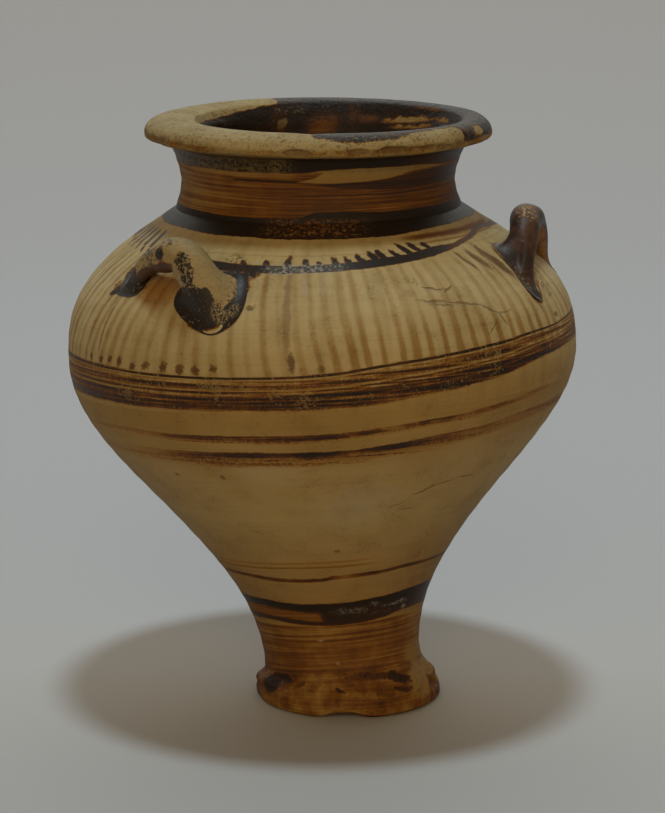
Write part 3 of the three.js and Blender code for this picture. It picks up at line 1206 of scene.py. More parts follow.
@dataclass(frozen=True)
class Studio:
    """The pale floor and wall, the soft lamps and the camera of the photograph."""

    camera_place: Triple = (2.35, -657.87, 213.7)
    camera_pitch: float = 12.545
    lens: float = 127.24
    sensor: float = 36.0
    front_colour: Triple = (2.06, 1.55, 0.81)
    back_colour: Triple = (3.83, 3.89, 3.58)
    lamps: tuple[Lamp, ...] = (
        Lamp("overhead", (0.0, 0.0, 1.7), 0.22, 13.5, (0.6, 0.75, 0.835)),
        Lamp("front", (-0.066, -1.26, 0.82), 0.3, 1.1, (1.0, 0.9, 0.78), pitch=57.0, heading=-3.0),
    )

    def build(self, floor_finish: Material) -> None:
        """Builds the studio.

        Args:
            floor_finish: the finish of the floor and the wall behind it.
        """
        bpy.context.scene.view_settings.view_transform = "Standard"
        self._camera()
        self._light()
        self._backdrop(floor_finish)

    def _camera(self) -> None:
        """The camera, level and looking back along +Y, tilted down."""
        data = bpy.data.cameras.new("camera")
        data.lens = self.lens
        data.sensor_fit = "VERTICAL"
        data.sensor_height = self.sensor
        data.clip_start = 0.01
        camera = bpy.data.objects.new("camera", data)
        camera.location = Vector(self.camera_place) * MM
        camera.rotation_euler = (math.radians(90 - self.camera_pitch), 0.0, 0.0)
        link(camera)
        bpy.context.scene.camera = camera

    @staticmethod
    def _lamp(lamp: Lamp) -> None:
        """Hangs a round soft lamp."""
        data = bpy.data.lights.new(lamp.name, "AREA")
        data.shape = "DISK"
        data.size = lamp.width
        data.energy = lamp.power
        data.color = lamp.colour
        hung = bpy.data.objects.new(lamp.name, data)
        hung.location = lamp.place
        hung.rotation_euler = (math.radians(lamp.pitch), 0.0, math.radians(lamp.heading))
        link(hung)

    def _light(self) -> None:
        """The lamps, a warm room in front, low down, and pale light from high behind."""
        for lamp in self.lamps:
            self._lamp(lamp)
        world = bpy.data.worlds.new("room")
        world.use_nodes = True
        graph = Graph(world.node_tree)
        facing = graph.out(graph.node("ShaderNodeTexCoord"), "Generated")
        _, back, up = graph.parts(facing)
        above = graph.most(up, 0.0)
        sky = up.step(-0.001, 0.001)
        front = graph.most(-back, 0.0) ** 2.0 * (1.0 - above) * sky
        behind = graph.most(back, 0.0) ** 2.0 * above
        warm = graph.scaled(graph.vector(*self.front_colour), front)
        pale = graph.scaled(graph.vector(*self.back_colour), behind)
        light = graph.vector_math("ADD", warm, pale)
        world.node_tree.links.new(light, world.node_tree.nodes["Background"].inputs["Color"])
        bpy.context.scene.world = world

    def _backdrop(self, finish: Material) -> None:
        """A floor that curves up gently behind the jar."""
        depth, bend, rise, width = 0.5, 1.2, 40.0, 2.4
        profile = [(-1.6, 0.0), (-0.6, 0.0), (depth, 0.0)]
        steps = 24
        for step in range(1, steps + 1):
            angle = math.radians(rise) * step / steps
            profile.append((depth + bend * math.sin(angle), bend * (1 - math.cos(angle))))
        places = [(side * width, y, z) for y, z in profile for side in (-1, 1)]
        faces = [(2 * k, 2 * k + 1, 2 * k + 3, 2 * k + 2) for k in range(len(profile) - 1)]
        mesh = bpy.data.meshes.new("backdrop")
        mesh.from_pydata(places, [], faces)
        mesh.shade_smooth()
        mesh.materials.append(finish)
        backdrop = bpy.data.objects.new("backdrop", mesh)
        link(backdrop)


@dataclass(frozen=True)
class Blot:
    """A mark on the surface: its middle, how far it reaches and how it is turned.

    The length lies along the ring where the turn is 0 degrees, and a positive turn lifts the
    end at the larger azimuth. The strength is how much of it shows, and the raggedness how
    uneven its edge is.
    """

    azimuth: float
    height: float
    length: float
    width: float
    turn: float = 0.0
    strength: float = 1.0
    edge: float = 0.35
    ragged: float = 1.0


@dataclass(frozen=True)
class Band:
    """A painted band: the heights of its two edges round the jar and its load of slip.

    The edges are azimuths in degrees with heights. The loads go from 0 at the lower edge to 1
    at the upper one.
    """

    low: tuple[Pair, ...]
    high: tuple[Pair, ...]
    loads: tuple[Pair, ...]
    edge: float = 0.25
    fray: float = 0.0


class Brushwork:
    """Where a point is on the wheel, and the marks that brushes and wear leave there."""

    ABOUT_ZERO = ("sway", "shake", "jitter")

    def __init__(self, graph: Graph) -> None:
        """Args:
            graph: the material's graph.
        """
        self.graph = graph
        self.wheel = graph.out(graph.attribute(WHEEL), "Vector")
        x, y, z = graph.parts(self.wheel)
        self.azimuth = graph.math("ARCTAN2", x, -y) * DEGREES
        self.side = self.azimuth * abs(self.azimuth).step(178.0, 120.0)
        self.height = z
        self.radius = graph.math("SQRT", x * x + y * y)
        self.sway = graph.noise(graph.scaled(self.wheel, 0.045), 1.0, 1.0) - 0.5
        self.shake = graph.noise(graph.scaled(self.wheel, 0.4), 1.0, 2.0) - 0.5
        self.jitter = graph.noise(graph.scaled(self.wheel, 1.9), 1.0, 2.0) - 0.5
        self.level = z + self.sway * 0.9 + self.shake * 0.35 + self.jitter * 0.2
        self.streak = graph.noise(graph.vector(x * 0.03, y * 0.03, z * 1.9), 1.0, 3.0, 0.6)
        self.hair = graph.noise(graph.vector(x * 0.05, y * 0.05, z * 5.0), 1.0, 2.0, 0.6)
        round_scale = 16.0
        turned = graph.vector(x / self.radius * round_scale, y / self.radius * round_scale, z * 0.03)
        self.comb = graph.noise(turned, 1.0, 2.0, 0.6)
        self.mottle = graph.noise(graph.scaled(self.wheel, 0.12), 1.0, 3.0, 0.6)
        self.fleck = graph.noise(graph.scaled(self.wheel, 1.3), 1.0, 3.0, 0.65)
        self.grain = graph.noise(graph.scaled(self.wheel, 4.5), 1.0, 2.0)

    def uneven(self, **shares: float) -> Value:
        """The sum of several noises about 0, by their names, each times its share."""
        terms = [
            (getattr(self, name) - (0.0 if name in self.ABOUT_ZERO else 0.5)) * share
            for name, share in shares.items()
        ]
        return sum(terms[1:], terms[0])

    def specks(self, low: float, high: float) -> Value:
        """A mask of fine specks: 0 and 1 beyond two levels of their noise."""
        return self.fleck.step(low, high)

    def front(self) -> Value:
        """The mask of the stretch in front where the ring at the neck is worn."""
        return (self.azimuth + self.sway * 10.0).between(-20.0, 17.0, 14.0)

    def track(self, stops: tuple[Pair, ...]) -> Value:
        """A height that follows the azimuth smoothly through stops."""
        margin = 1.0
        low = min(value for _, value in stops) - margin
        high = max(value for _, value in stops) + margin
        knots = [((azimuth + 180) / 360, (value - low) / (high - low)) for azimuth, value in stops]
        if knots[0][0] > 0:
            knots = [(0.0, knots[0][1]), *knots]
        if knots[-1][0] < 1:
            knots = [*knots, (1.0, knots[-1][1])]
        share = (self.azimuth + 180.0) / 360.0
        return self._curve(knots, share) * (high - low) + low

    def _curve(self, knots: list[Pair], share: Value) -> Value:
        """A Float Curve node over a share, through knots from 0 to 1."""
        return self.graph.value(self.graph.node("ShaderNodeFloatCurve", {"knots": knots}, {"Value": share}))

    def profile(self, share: Value, stops: tuple[Pair, ...]) -> Value:
        """A number from 0 to 1 that follows a share through stops."""
        return self._curve(list(stops), share)

    def band(self, band: Band) -> Value:
        """The load of slip of a band."""
        low, high = self.track(band.low), self.track(band.high)
        frayed = low + (self.streak - 0.5 + self.jitter) * band.fray if band.fray else low
        inside = self.level.between(frayed, high, band.edge)
        share = (self.height + self.sway * 0.5 - low) / (high - low)
        return self.profile(share, band.loads) * inside

    def line(self, middle: Number, width: Number, edge: float = 0.3) -> Value:
        """A line round the jar."""
        return abs(self.level - middle).step(width * 0.5 + edge / 2, width * 0.5 - edge / 2)

    def turned(self, blot: Blot) -> tuple[Value, Value]:
        """Where a point lies in a blot, along its length and across it, in millimetres."""
        arc, slope = math.pi / 180, 1.25
        along = self.graph.math("WRAP", self.azimuth - blot.azimuth, 180.0, -180.0) * self.radius * arc
        over = (self.height + self.shake * 1.3 - blot.height) * slope
        cosine, sine = math.cos(math.radians(blot.turn)), math.sin(math.radians(blot.turn))
        return along * cosine + over * sine, over * cosine - along * sine

    def blot(self, blot: Blot) -> Value:
        """The mask of a blot with an uneven edge."""
        along, across = self.turned(blot)
        u, v = along / (blot.length / 2), across / (blot.width / 2)
        uneven = self.shake * (0.8 * blot.ragged) + self.jitter * (0.5 * blot.ragged)
        reach = self.graph.math("SQRT", u * u + v * v) + uneven
        return reach.step(1.0 + blot.edge, 1.0 - blot.edge) * blot.strength

    def blots(self, rows: tuple[Row, ...]) -> Value:
        """The mask of several blots together, each given as the numbers of a Blot."""
        return self.graph.merged(*(self.blot(Blot(*row)) for row in rows))


@dataclass(frozen=True)
class Clay:
    """The colours of the slip, thin to thick, what stains leave of the clay's colour, and the tints of
    painted shade and painted highlights.
    """

    speck: Colour = srgb(76, 50, 30)
    broken: Colour = srgb(92, 64, 38)
    # Whitish tone of pale specks and patches, and of painted highlights.
    chalk_and_sheen: Colour = srgb(176, 170, 154)
    # Mottling tint, also used for the painted shade at the lower body's sides.
    cloud: Colour = (0.8, 0.77, 0.7, 1)
    dirt: Colour = (0.56, 0.52, 0.47, 1)
    stroke: Colour = (0.68, 0.53, 0.37, 1)
    drip: Colour = (0.36, 0.27, 0.24, 1)
    # Tint of the orange-brown wash and painted shade under the front-left handle's arch.
    arch_wash_and_shade: Colour = (0.8, 0.52, 0.3, 1)
    slip: Tones = (
        (0.0, srgb(158, 128, 74)),
        (0.25, srgb(138, 102, 50)),
        (0.45, srgb(112, 70, 28)),
        (0.62, srgb(84, 51, 27)),
        (0.8, srgb(57, 39, 29)),
        (1.0, srgb(40, 33, 28)),
    )
    clay_roughness: float = 0.62
    slip_roughness: float = 0.42
    grain_depth: float = 0.04


class Finish(Enum):
    """The jar's finishes, by the name of their material."""

    FOOT = "foot_wash"
    LOWER = "lower_body_paint"
    SHOULDER = "shoulder_paint"
    NECK = "neck_paint"
    WORN_HANDLE = "worn_handle_slip"
    DARK_HANDLE = "dark_handle_slip"


@dataclass
class PaintedClay:
    """A finish of clay painted with slip. Each painted part has its own kind below."""

    clay: Clay = field(default_factory=Clay)
    tones: Tones = (
        (70.0, srgb(152, 121, 67)),
        (78.0, srgb(158, 128, 76)),
        (86.0, srgb(178, 155, 107)),
        (100.0, srgb(190, 169, 125)),
        (112.0, srgb(178, 152, 101)),
    )
    combed: float = 0.0
    shine: float = 0.1

    def build(self, finish: Finish) -> Material:
        """Builds the material.

        Args:
            finish: which finish it is.

        Returns:
            The material.
        """
        material = bpy.data.materials.new(finish.value)
        material.use_nodes = True
        tree = material.node_tree
        tree.nodes.clear()
        graph = Graph(tree)
        brush = Brushwork(graph)
        load = graph.most(graph.least(self.load(brush), 1.0), 0.0)
        clay = self.stain(brush, self.bare(brush))
        stops = {"stops": list(self.clay.slip)}
        slip = graph.out(graph.node("ShaderNodeValToRGB", stops, {0: load}))
        colour = graph.mix(load.step(0.02, 0.3), clay, slip)
        colour = graph.mix(self.bald(brush), colour, clay)
        broken = graph.value(graph.attribute(BROKEN), "Fac") + brush.uneven(shake=0.5, jitter=0.5)
        broken = broken.step(0.3, 0.6)
        colour = graph.mix(broken * 0.45, colour, self.clay.broken)
        # Whitish specks and painted highlights over everything.
        colour = graph.mix(self.chalk_and_sheen(brush), colour, self.clay.chalk_and_sheen)
        wear = self.clay.clay_roughness + brush.uneven(fleck=0.25, mottle=0.12)
        shine = self.clay.slip_roughness + (brush.fleck - 0.5) * 0.3
        roughness = graph.lerp(load.step(0.4, 0.9), wear, shine)
        relief = (brush.grain - 0.5) * self.clay.grain_depth + (brush.hair - 0.5) * 0.03
        relief = relief + (brush.fleck - 0.5) * 0.06 + self.relief(brush)
        bump = graph.node("ShaderNodeBump", None, {"Strength": 1.0, "Distance": MM, "Height": relief})
        shader = graph.node("ShaderNodeBsdfPrincipled", None, {
            "Base Color": colour,
            "Roughness": roughness,
            "Specular IOR Level": self.shine,
            "Normal": graph.out(bump),
        })
        graph.node("ShaderNodeOutputMaterial", None, {"Surface": graph.out(shader)})
        return material

    def bare(self, brush: Brushwork) -> Socket:
        """The colour of the bare clay, which changes with the height."""
        graph, clay = brush.graph, self.clay
        low, high = self.tones[0][0], self.tones[-1][0]
        share = (brush.height + brush.sway * 8.0 - low) / (high - low)
        stops = {"stops": [((height - low) / (high - low), tone) for height, tone in self.tones]}
        colour = graph.out(graph.node("ShaderNodeValToRGB", stops, {0: share}))
        cloud = graph.noise(graph.scaled(brush.wheel, 0.022), 1.0, 3.0, 0.55)
        dust = brush.fleck + (brush.mottle - 0.5) * 0.4
        for noise, low, high, share, stain in (
            (cloud, 0.4, 0.68, 0.55, clay.cloud),
            (brush.mottle, 0.4, 0.75, 0.6, clay.cloud),
            (brush.streak, 0.45, 0.75, 0.35, clay.cloud),
            (brush.comb, 0.42, 0.66, self.combed, clay.cloud),
            (dust, 0.56, 0.74, 0.45, clay.dirt),
        ):
            colour = graph.tint(noise.step(low, high) * share, colour, stain)
        return graph.mix(brush.grain.step(0.68, 0.8) * 0.3, colour, clay.speck)

    def load(self, brush: Brushwork) -> Value:
        """The load of slip: 0 on bare clay, 1 where it is thickest."""
        raise NotImplementedError

    def stain(self, brush: Brushwork, colour: Socket) -> Socket:
        """The clay's colour with the stains under the slip."""
        return colour

    def bald(self, brush: Brushwork) -> Number:
        """Where the slip has chipped off to the clay."""
        return 0.0

    def chalk_and_sheen(self, brush: Brushwork) -> Number:
        """Where whitish specks and painted highlights lie over everything."""
        return 0.0

    def relief(self, brush: Brushwork) -> Number:
        """Scratches, pits and other marks, as a height in millimetres."""
        return 0.0


@dataclass
class ShoulderPaint(PaintedClay):
    """The shoulder: a dark ring at the neck, a toothed line, fine strokes and the belly band."""

    combed: float = 0.5
    stroke_pitch: float = 3.65
    tooth_pitch: float = 4.6

    def load(self, brush: Brushwork) -> Value:
        """The load of slip."""
        graph = brush.graph
        ring = brush.band(Band(
            low=((-180, 113), (-60, 112.9), (-45, 112.6), (5, 112.3), (40, 112.9), (60, 113.2), (180, 113)),
            high=((-180, 118), (180, 118)),
            loads=((0, 1), (1, 1)),
        ))
        worn = brush.front()
        worn = worn * brush.level.between(112.6, 116.0, 0.5) * brush.specks(0.4, 0.56)
        ring = ring * (1.0 - worn * 0.42)
        right = brush.azimuth.between(30.0, 84.0, 14.0)
        rings = brush.line(111.8, 0.9, 0.8) * 0.5 + brush.line(110.6, 0.4, 0.5) * 0.34
        rings = rings * right * (0.5 + brush.streak * 0.9)
        faint = graph.most(brush.line(109.2, 0.35) * 0.16, brush.line(110.1, 0.2) * 0.12)
        return graph.merged(ring, self._belly(brush), self._teeth(brush), self._pads(brush), rings, faint)

    @staticmethod
    def _belly(brush: Brushwork) -> Value:
        """The broad streaky band round the belly."""
        band = brush.band(Band(
            low=((-180, 77.5), (-110, 76.3), (-55, 76), (0, 76), (20, 77.5), (40, 79.6), (60, 82.5),
                 (95, 84), (140, 81), (180, 77.5)),
            high=((-180, 86), (-110, 84.2), (-60, 84.3), (-12, 84.1), (15, 86.2), (40, 88), (65, 89.5),
                  (100, 90.2), (140, 88.5), (180, 86)),
            loads=((0, 0.4), (0.05, 0.6), (0.14, 0.8), (0.24, 0.78), (0.3, 0.45), (0.35, 0.72), (0.44, 0.66),
                   (0.5, 0.3), (0.55, 0.56), (0.6, 0.2), (0.66, 0.44), (0.74, 0.56), (0.8, 0.3), (0.86, 0.34),
                   (0.9, 0.14), (0.93, 0.5), (0.96, 0.88), (1, 0.88)),
            edge=0.6,
            fray=1.6,
        ))
        streaks = brush.uneven(streak=1.9, hair=0.9, mottle=0.7)
        streaks = streaks + brush.uneven(jitter=0.6, comb=0.4)
        left = brush.side.step(-44.0, -62.0)
        fade = 1.0 - abs(brush.azimuth - 5.0).step(56.0, 84.0) * 0.2
        load = band + left * 0.16 + streaks * band.step(0.1, 0.4)
        return load * band.step(0.02, 0.1) * fade

    def _strokes(self, brush: Brushwork) -> tuple[Value, Value]:
        """Which stroke a point is near, by number, and how far from its middle it is, in degrees."""
        graph = brush.graph
        lean = brush.track((
            (-180, 0), (-100, -0.25), (-60, -0.31), (-20, 0.1), (0, 0.15), (40, 0.05),
            (70, 0.1), (120, -0.1), (180, 0),
        ))
        turn = brush.azimuth + lean * (brush.height - 98.0) + brush.sway * 2.0
        number = graph.math("FLOOR", turn / self.stroke_pitch)
        shift = (graph.chance(number) - 0.5) * 0.8
        return number, turn - (number + 0.5) * self.stroke_pitch + shift + brush.shake * 0.5

    def stain(self, brush: Brushwork, colour: Socket) -> Socket:
        """The strokes down the shoulder, each a little different, their dark feet, the drips, and an
        orange-brown wash with painted shade under the front-left handle's arch.
        """
        graph = brush.graph
        number, across = self._strokes(brush)
        width = 0.52 + graph.chance(number + 57.0) * 0.42
        body = abs(across).step(width + 0.55, width - 0.45)
        ends = brush.height.step(108.6, 106.4) * brush.height.step(83.0, 84.6)
        side = brush.azimuth.between(2.0, 66.0, 26.0)
        left = brush.side.step(-42.0, -56.0)
        depth = brush.height.step(99.0, 87.0)
        share = 0.3 + graph.chance(number + 23.0) * 0.42 + left * 0.2 + depth * (0.06 + side * 0.75)
        share = share + brush.uneven(mottle=0.8, fleck=0.5)
        colour = graph.tint(body * ends * share, colour, self.clay.stroke)
        low = 84.9 + graph.chance(number + 91.0) * 1.0
        rise = (brush.height - low) * (0.7 + graph.chance(number + 7.0) * 0.6)
        reach = graph.math("SQRT", across * across + rise * rise) + brush.uneven(shake=1.5, jitter=1.6)
        often = brush.side.step(-8.0, -26.0) * brush.side.step(-66.0, -58.0)
        kept = (graph.chance(number + 3.0) + often * 0.7).step(0.78, 0.84)
        feet = reach.step(1.05, 0.55) * kept * (0.5 + often * 0.45)
        colour = graph.tint(feet, colour, self.clay.drip)
        drips = brush.blots((
            (-7.3, 97, 1.7, 25, 2, 0.56, 0.45, 1.4), (-6.2, 87.4, 1.5, 6.5, 3, 0.95, 0.4, 2.4),
            (-56.2, 92.6, 0.9, 17, -10, 0.7), (44.4, 106.2, 1.1, 6, 26, 0.85), (49.3, 106, 2, 6.4, 26, 0.9),
            (55.2, 104.8, 2.8, 10.5, 22, 0.95), (59, 96, 1.4, 7, 16, 0.55), (-16, 99, 1.7, 1.2, 0, 0.85),
            (66, 91, 2.2, 1.3, -20, 0.7), (22, 101, 3, 2, -20, 0.25),
        ))
        drips = graph.most(drips, brush.blots(self._cracks()) * 0.62)
        colour = graph.tint(drips, colour, self.clay.drip)
        pitted = brush.blots((
            (67.5, 98.2, 5, 7), (-23.5, 107.6, 6.5, 3.4), (24, 103.4, 4, 2, -16, 0.5),
        ))
        pitted = pitted * brush.specks(0.46, 0.58) * 0.8
        colour = graph.tint(pitted, colour, self.clay.drip)
        # Orange-brown wash and painted shade on the shoulder under the front-left handle's arch.
        shade = brush.blots(((-42.5, 101.6, 11, 9, 0, 0.95, 0.5),))
        return graph.tint(shade, colour, self.clay.arch_wash_and_shade)

    @staticmethod
    def _cracks() -> tuple[Row, ...]:
        """The cracks at the right of the shoulder."""
        return (
            (28.5, 101.6, 4.6, 0.45, -14, 1, 0.5), (32.6, 101, 2.6, 0.4, 26, 1, 0.5),
            (27.5, 98.9, 5.6, 0.75, -8, 0.9, 0.6, 1.6), (29, 98, 6, 0.3, -12, 0.7, 0.6),
            (35.5, 97.6, 7.5, 0.5, -12, 0.9, 0.6, 1.6), (41.5, 95.8, 5, 0.5, -34, 0.9, 0.6),
            (45.5, 94.6, 4.6, 0.3, 4, 0.7, 0.6), (44.6, 93, 3.6, 0.4, -62, 0.8, 0.6),
            (41, 91.6, 4.4, 0.3, 50, 0.6, 0.6),
        )

    def _teeth(self, brush: Brushwork) -> Value:
        """The dark line above the strokes, with its small slanted teeth."""
        graph = brush.graph
        foot = brush.track((
            (-180, 108.4), (-80, 108.6), (-60, 108.4), (-40, 107), (-18, 105.9), (0, 105.9),
            (10, 106.2), (22, 107), (38, 108.3), (50, 109.3), (60, 110.2), (69, 110.9), (82, 110.4),
            (100, 109.4), (180, 108.4),
        ))
        right = brush.azimuth.between(42.0, 92.0, 10.0)
        left = brush.azimuth.between(-90.0, -52.0, 6.0)
        line = brush.level.between(foot, foot + 1.5 - right * 0.7, 0.35)
        line = line * (1.0 - left * 0.9) * (1.0 - right * 0.3)
        turn = brush.azimuth + (brush.height - foot) * 0.9 + brush.shake * 0.8
        number = graph.math("FLOOR", turn / self.tooth_pitch)
        across = abs(turn - (number + 0.5) * self.tooth_pitch + (graph.chance(number + 11.0) - 0.5) * 1.0)
        broad = 0.8 + graph.chance(number + 17.0) * 0.25
        tall = foot + 1.8 + graph.chance(number + 31.0) * 0.7
        over = graph.most(brush.level - tall, 0.0)
        reach = graph.math("SQRT", across * across + over * over)
        tooth = reach.step(broad + 0.3, broad - 0.15) * brush.level.step(foot, foot + 0.5)
        tooth = tooth * abs(brush.azimuth - 19.0).step(79.0, 81.0)
        front = brush.blots((
            (-21.4, 107.6, 2.4, 1.5, -56, 0.85), (-14.6, 107.5, 2.4, 1.5, -60, 0.85),
            (-8.6, 107.5, 3.6, 1.7, 90, 0.95), (-3.4, 107.5, 2.6, 1.4, -66, 0.95),
            (0.4, 107.4, 2.2, 1.2, -64, 0.9), (5, 107.7, 2.9, 1.5, -60), (8.6, 107.9, 2.7, 1.4, -56),
            (12.2, 108.2, 2.9, 1.5, -52), (16.2, 108.6, 3.3, 1.7, -50), (18.8, 108.7, 3, 1.6, -50),
            (23.2, 109, 3.4, 1.4, -48), (27.2, 109.5, 3.6, 1.4, -46), (30.8, 109.8, 3.4, 1.4, -44),
            (35, 110, 2.6, 1.3, -42), (-56.5, 107.6, 2.2, 0.9, -50, 0.85), (-61, 108, 2.2, 0.9, -50, 0.85),
            (-65.5, 108.2, 2.2, 0.9, -50, 0.85), (-70.5, 108.4, 2.2, 0.9, -50, 0.85),
            (-76, 108.4, 2.2, 0.9, -50, 0.85), (-82, 108.4, 2.2, 0.9, -50, 0.85),
        ))
        worn = brush.azimuth.between(-26.0, 3.0, 8.0) * brush.specks(0.44, 0.6)
        return graph.merged(line, tooth, front) * 0.95 * (1.0 - worn * 0.2)

    @staticmethod
    def _pads(brush: Brushwork) -> Value:
        """The dark slip round the handles' roots."""
        pads = brush.blots((
            (-54, 101.4, 10.5, 3.4, 8), (-58.2, 100, 4.6, 1.7, 26), (-58, 104, 3, 4, 0, 0.85),
            (-19.2, 102.6, 2.8, 7, 0, 0.85, 0.5), (-26.5, 95.4, 7, 3.4), (-18.4, 105.6, 4, 2, 0, 0.9, 0.5),
            (60.2, 97.6, 4.4, 7, 6), (64, 104, 7, 8, 0), (94, 103, 7, 5, 20), (-176, 102.5, 7, 5),
            (-147, 102.5, 7, 5),
        ))
        return pads * 0.97

    def bald(self, brush: Brushwork) -> Number:
        """Chips in the ring at the neck, in the belly band and in the slip round the handles."""
        graph = brush.graph
        front = brush.front()
        ring = front * brush.level.between(112.6, 116.0, 0.5) * brush.specks(0.54, 0.66) * 0.36
        chips = (brush.fleck + (brush.mottle - 0.5) * 0.9).step(0.6, 0.7) * 0.5
        belly = chips * brush.height.step(92.0, 90.0)
        pads = brush.azimuth.between(-64.0, -16.0, 3.0) * brush.height.between(96.0, 106.0, 1.0)
        return graph.merged(ring, belly, pads * brush.specks(0.6, 0.66) * 0.8)

    def chalk_and_sheen(self, brush: Brushwork) -> Number:
        """Whitish specks of painted highlight along the toothed line in front, and two pale smears under it.
        """
        graph = brush.graph
        # Painted highlight: whitish specks where the lamp's sheen falls on the toothed line in front.
        specks = brush.azimuth.between(-14.0, 7.0, 8.0) * brush.level.between(105.6, 107.7, 0.6)
        specks = specks * (0.1 + (brush.fleck + brush.jitter * 0.3).step(0.48, 0.6) * 0.5)
        smears = brush.blots(((-3.4, 103.4, 1.5, 5, 4, 0.3), (1.4, 103.6, 1.4, 5.6, -4, 0.26)))
        return graph.most(specks, smears * brush.specks(0.34, 0.5))

    def relief(self, brush: Brushwork) -> Number:
        """Cracks and pits."""
        return brush.blots((
            *self._cracks(),
            (-16, 99, 1.8, 1.4), (66, 91, 2.2, 1.3, -20),
        )) * -0.3


@dataclass
class LowerPaint(PaintedClay):
    """The lower body: fine lines under the belly, and a dark band round the stem."""

    # Tones of the clay, darker towards the foot.
    tones: Tones = (
        (24.0, srgb(142, 112, 66)),
        (34.0, srgb(150, 120, 74)),
        (46.0, srgb(164, 138, 89)),
        (60.0, srgb(163, 135, 86)),
        (66.0, srgb(156, 126, 74)),
        (71.0, srgb(152, 121, 67)),
    )

    def load(self, brush: Brushwork) -> Value:
        """The load of slip."""
        graph = brush.graph
        first = self._trailing(brush, (
            (-180, 70), (-100, 69.7), (-75, 70), (-60, 70.5), (-28, 69.8), (-5, 69.8), (7, 70.4),
            (22, 71.4), (40, 73), (55, 75), (65, 76.5), (95, 77.5), (140, 73.5), (180, 70),
        ), 2.6, 1.3, (-34, 34))
        second = self._trailing(brush, (
            (-180, 66.2), (-60, 65.7), (-25, 65.7), (0, 65.5), (15, 66.3), (25, 67.3), (40, 68.3),
            (50, 69.5), (65, 70.6), (95, 70.9), (140, 68.3), (180, 66.2),
        ), 4.8, 1.7, (-30, 24))
        fading = brush.side.step(40.0, 5.0)
        faint = graph.most(brush.line(35.4, 0.7, 0.6) * 0.28, brush.line(34.2, 0.6, 0.6) * 0.38) * fading
        wash = brush.level.between(33.4, 36.2, 1.5) * fading * 0.12
        ring = brush.line(brush.track((
            (-180, 32), (-70, 32.3), (-40, 31.5), (-25, 31), (-10, 30.8), (0, 31.3), (20, 31.5),
            (40, 32), (180, 32),
        )), 1.0, 0.5)
        ring = ring * (0.62 + brush.uneven(streak=1.2, mottle=1.3))
        whole = graph.merged(first, second, faint, wash)
        return graph.merged(whole, ring, self._stem(brush))

    @staticmethod
    def _stem(brush: Brushwork) -> Value:
        """The dark band and the orange-brown wash round the stem."""
        graph = brush.graph
        band = brush.band(Band(
            low=((-180, 19.6), (-60, 20.6), (-30, 19.6), (-12, 19.1), (0, 19), (30, 19.6), (60, 20.8),
                 (180, 19.6)),
            high=((-180, 26), (-70, 26.2), (-50, 25.9), (-30, 25), (-10, 24.6), (25, 25.1), (60, 26),
                  (180, 26)),
            loads=((0, 0.7), (0.1, 0.85), (0.25, 0.9), (0.6, 0.95), (0.9, 1), (1, 0.95)),
            edge=0.6,
        ))
        middle = brush.track((
            (-180, 23.2), (-60, 23), (-45, 22.6), (-30, 22), (-12, 21.2), (0, 21), (180, 23.2),
        ))
        split = abs(brush.level - middle).step(1.6, 0.7)
        split = split * (brush.side + brush.uneven(shake=12.0, jitter=4.0)).step(-7.0, -14.0)
        worn = brush.azimuth.between(-6.0, 48.0, 6.0) * brush.level.between(20.4, 23.6, 1.0)
        worn = worn * (brush.fleck + (brush.mottle - 0.5) * 0.6).step(0.56, 0.68)
        band = band * (1.0 - graph.most(split * (0.86 - brush.hair * 0.7), worn * 0.34))
        band = band + (brush.hair - 0.5) * 0.25 * band
        stem = 0.44 + brush.uneven(streak=0.9, hair=0.4, mottle=0.5)
        stem = stem + brush.shake * 0.2
        stem = brush.level.step(20.2, 18.6) * stem
        worn = 0.2 + brush.height.step(14.0, 9.0) * 0.4
        stem = stem * (1.0 - brush.side.step(42.0, 60.0) * worn)
        return graph.most(band, stem)

    @staticmethod
    def _trailing(brush: Brushwork, stops: tuple[Pair, ...], fade: float, head: float, dark: Pair) -> Value:
        """A line that is dark at its top and fades to orange brown below.

        Args:
            brush: the brushwork.
            stops: the heights of the line's top round the jar.
            fade: how far below the top the brown reaches.
            head: how thick the dark top is.
            dark: the azimuths between which the top is darkest.
        """
        graph = brush.graph
        drop = brush.track(stops) - brush.level
        wash = drop.step(-0.4, 0.3) * drop.step(fade, fade * 0.4)
        top = drop.step(-0.25, 0.25) * drop.step(head + 0.5, head - 0.4)
        middle, half = (dark[0] + dark[1]) / 2, (dark[1] - dark[0]) / 2
        strong = 0.42 + abs(brush.azimuth - middle).step(half + 16.0, half - 8.0) * 0.58
        patchy = 0.72 + brush.uneven(mottle=1.5, streak=1.4, fleck=0.6)
        flecks = (brush.streak + (brush.fleck - 0.5) * 0.7).step(0.5, 0.66) * wash * 0.4
        thin = 1.0 - brush.side.step(-34.0, -58.0) * 0.3
        return graph.most(top * strong * patchy, wash * 0.3 + flecks * strong) * thin

    def stain(self, brush: Brushwork, colour: Socket) -> Socket:
        """Cracks, a pale patch and painted shade that darkens the sides."""
        graph = brush.graph
        pale = brush.blots((
            (10, 50, 15, 12, 20, 0.16, 0.8, 1.8), (-14, 60, 12, 6, 0, 0.1, 0.8, 1.8),
        ))
        colour = graph.mix(pale, colour, self.clay.chalk_and_sheen)
        # Painted shade: the clay darkens towards the left and right sides.
        sides = abs(brush.azimuth).step(18.0, 58.0) * 0.6
        colour = graph.tint(sides, colour, self.clay.cloud)
        return graph.tint(brush.blots(self._cracks()) * 0.6, colour, self.clay.drip)

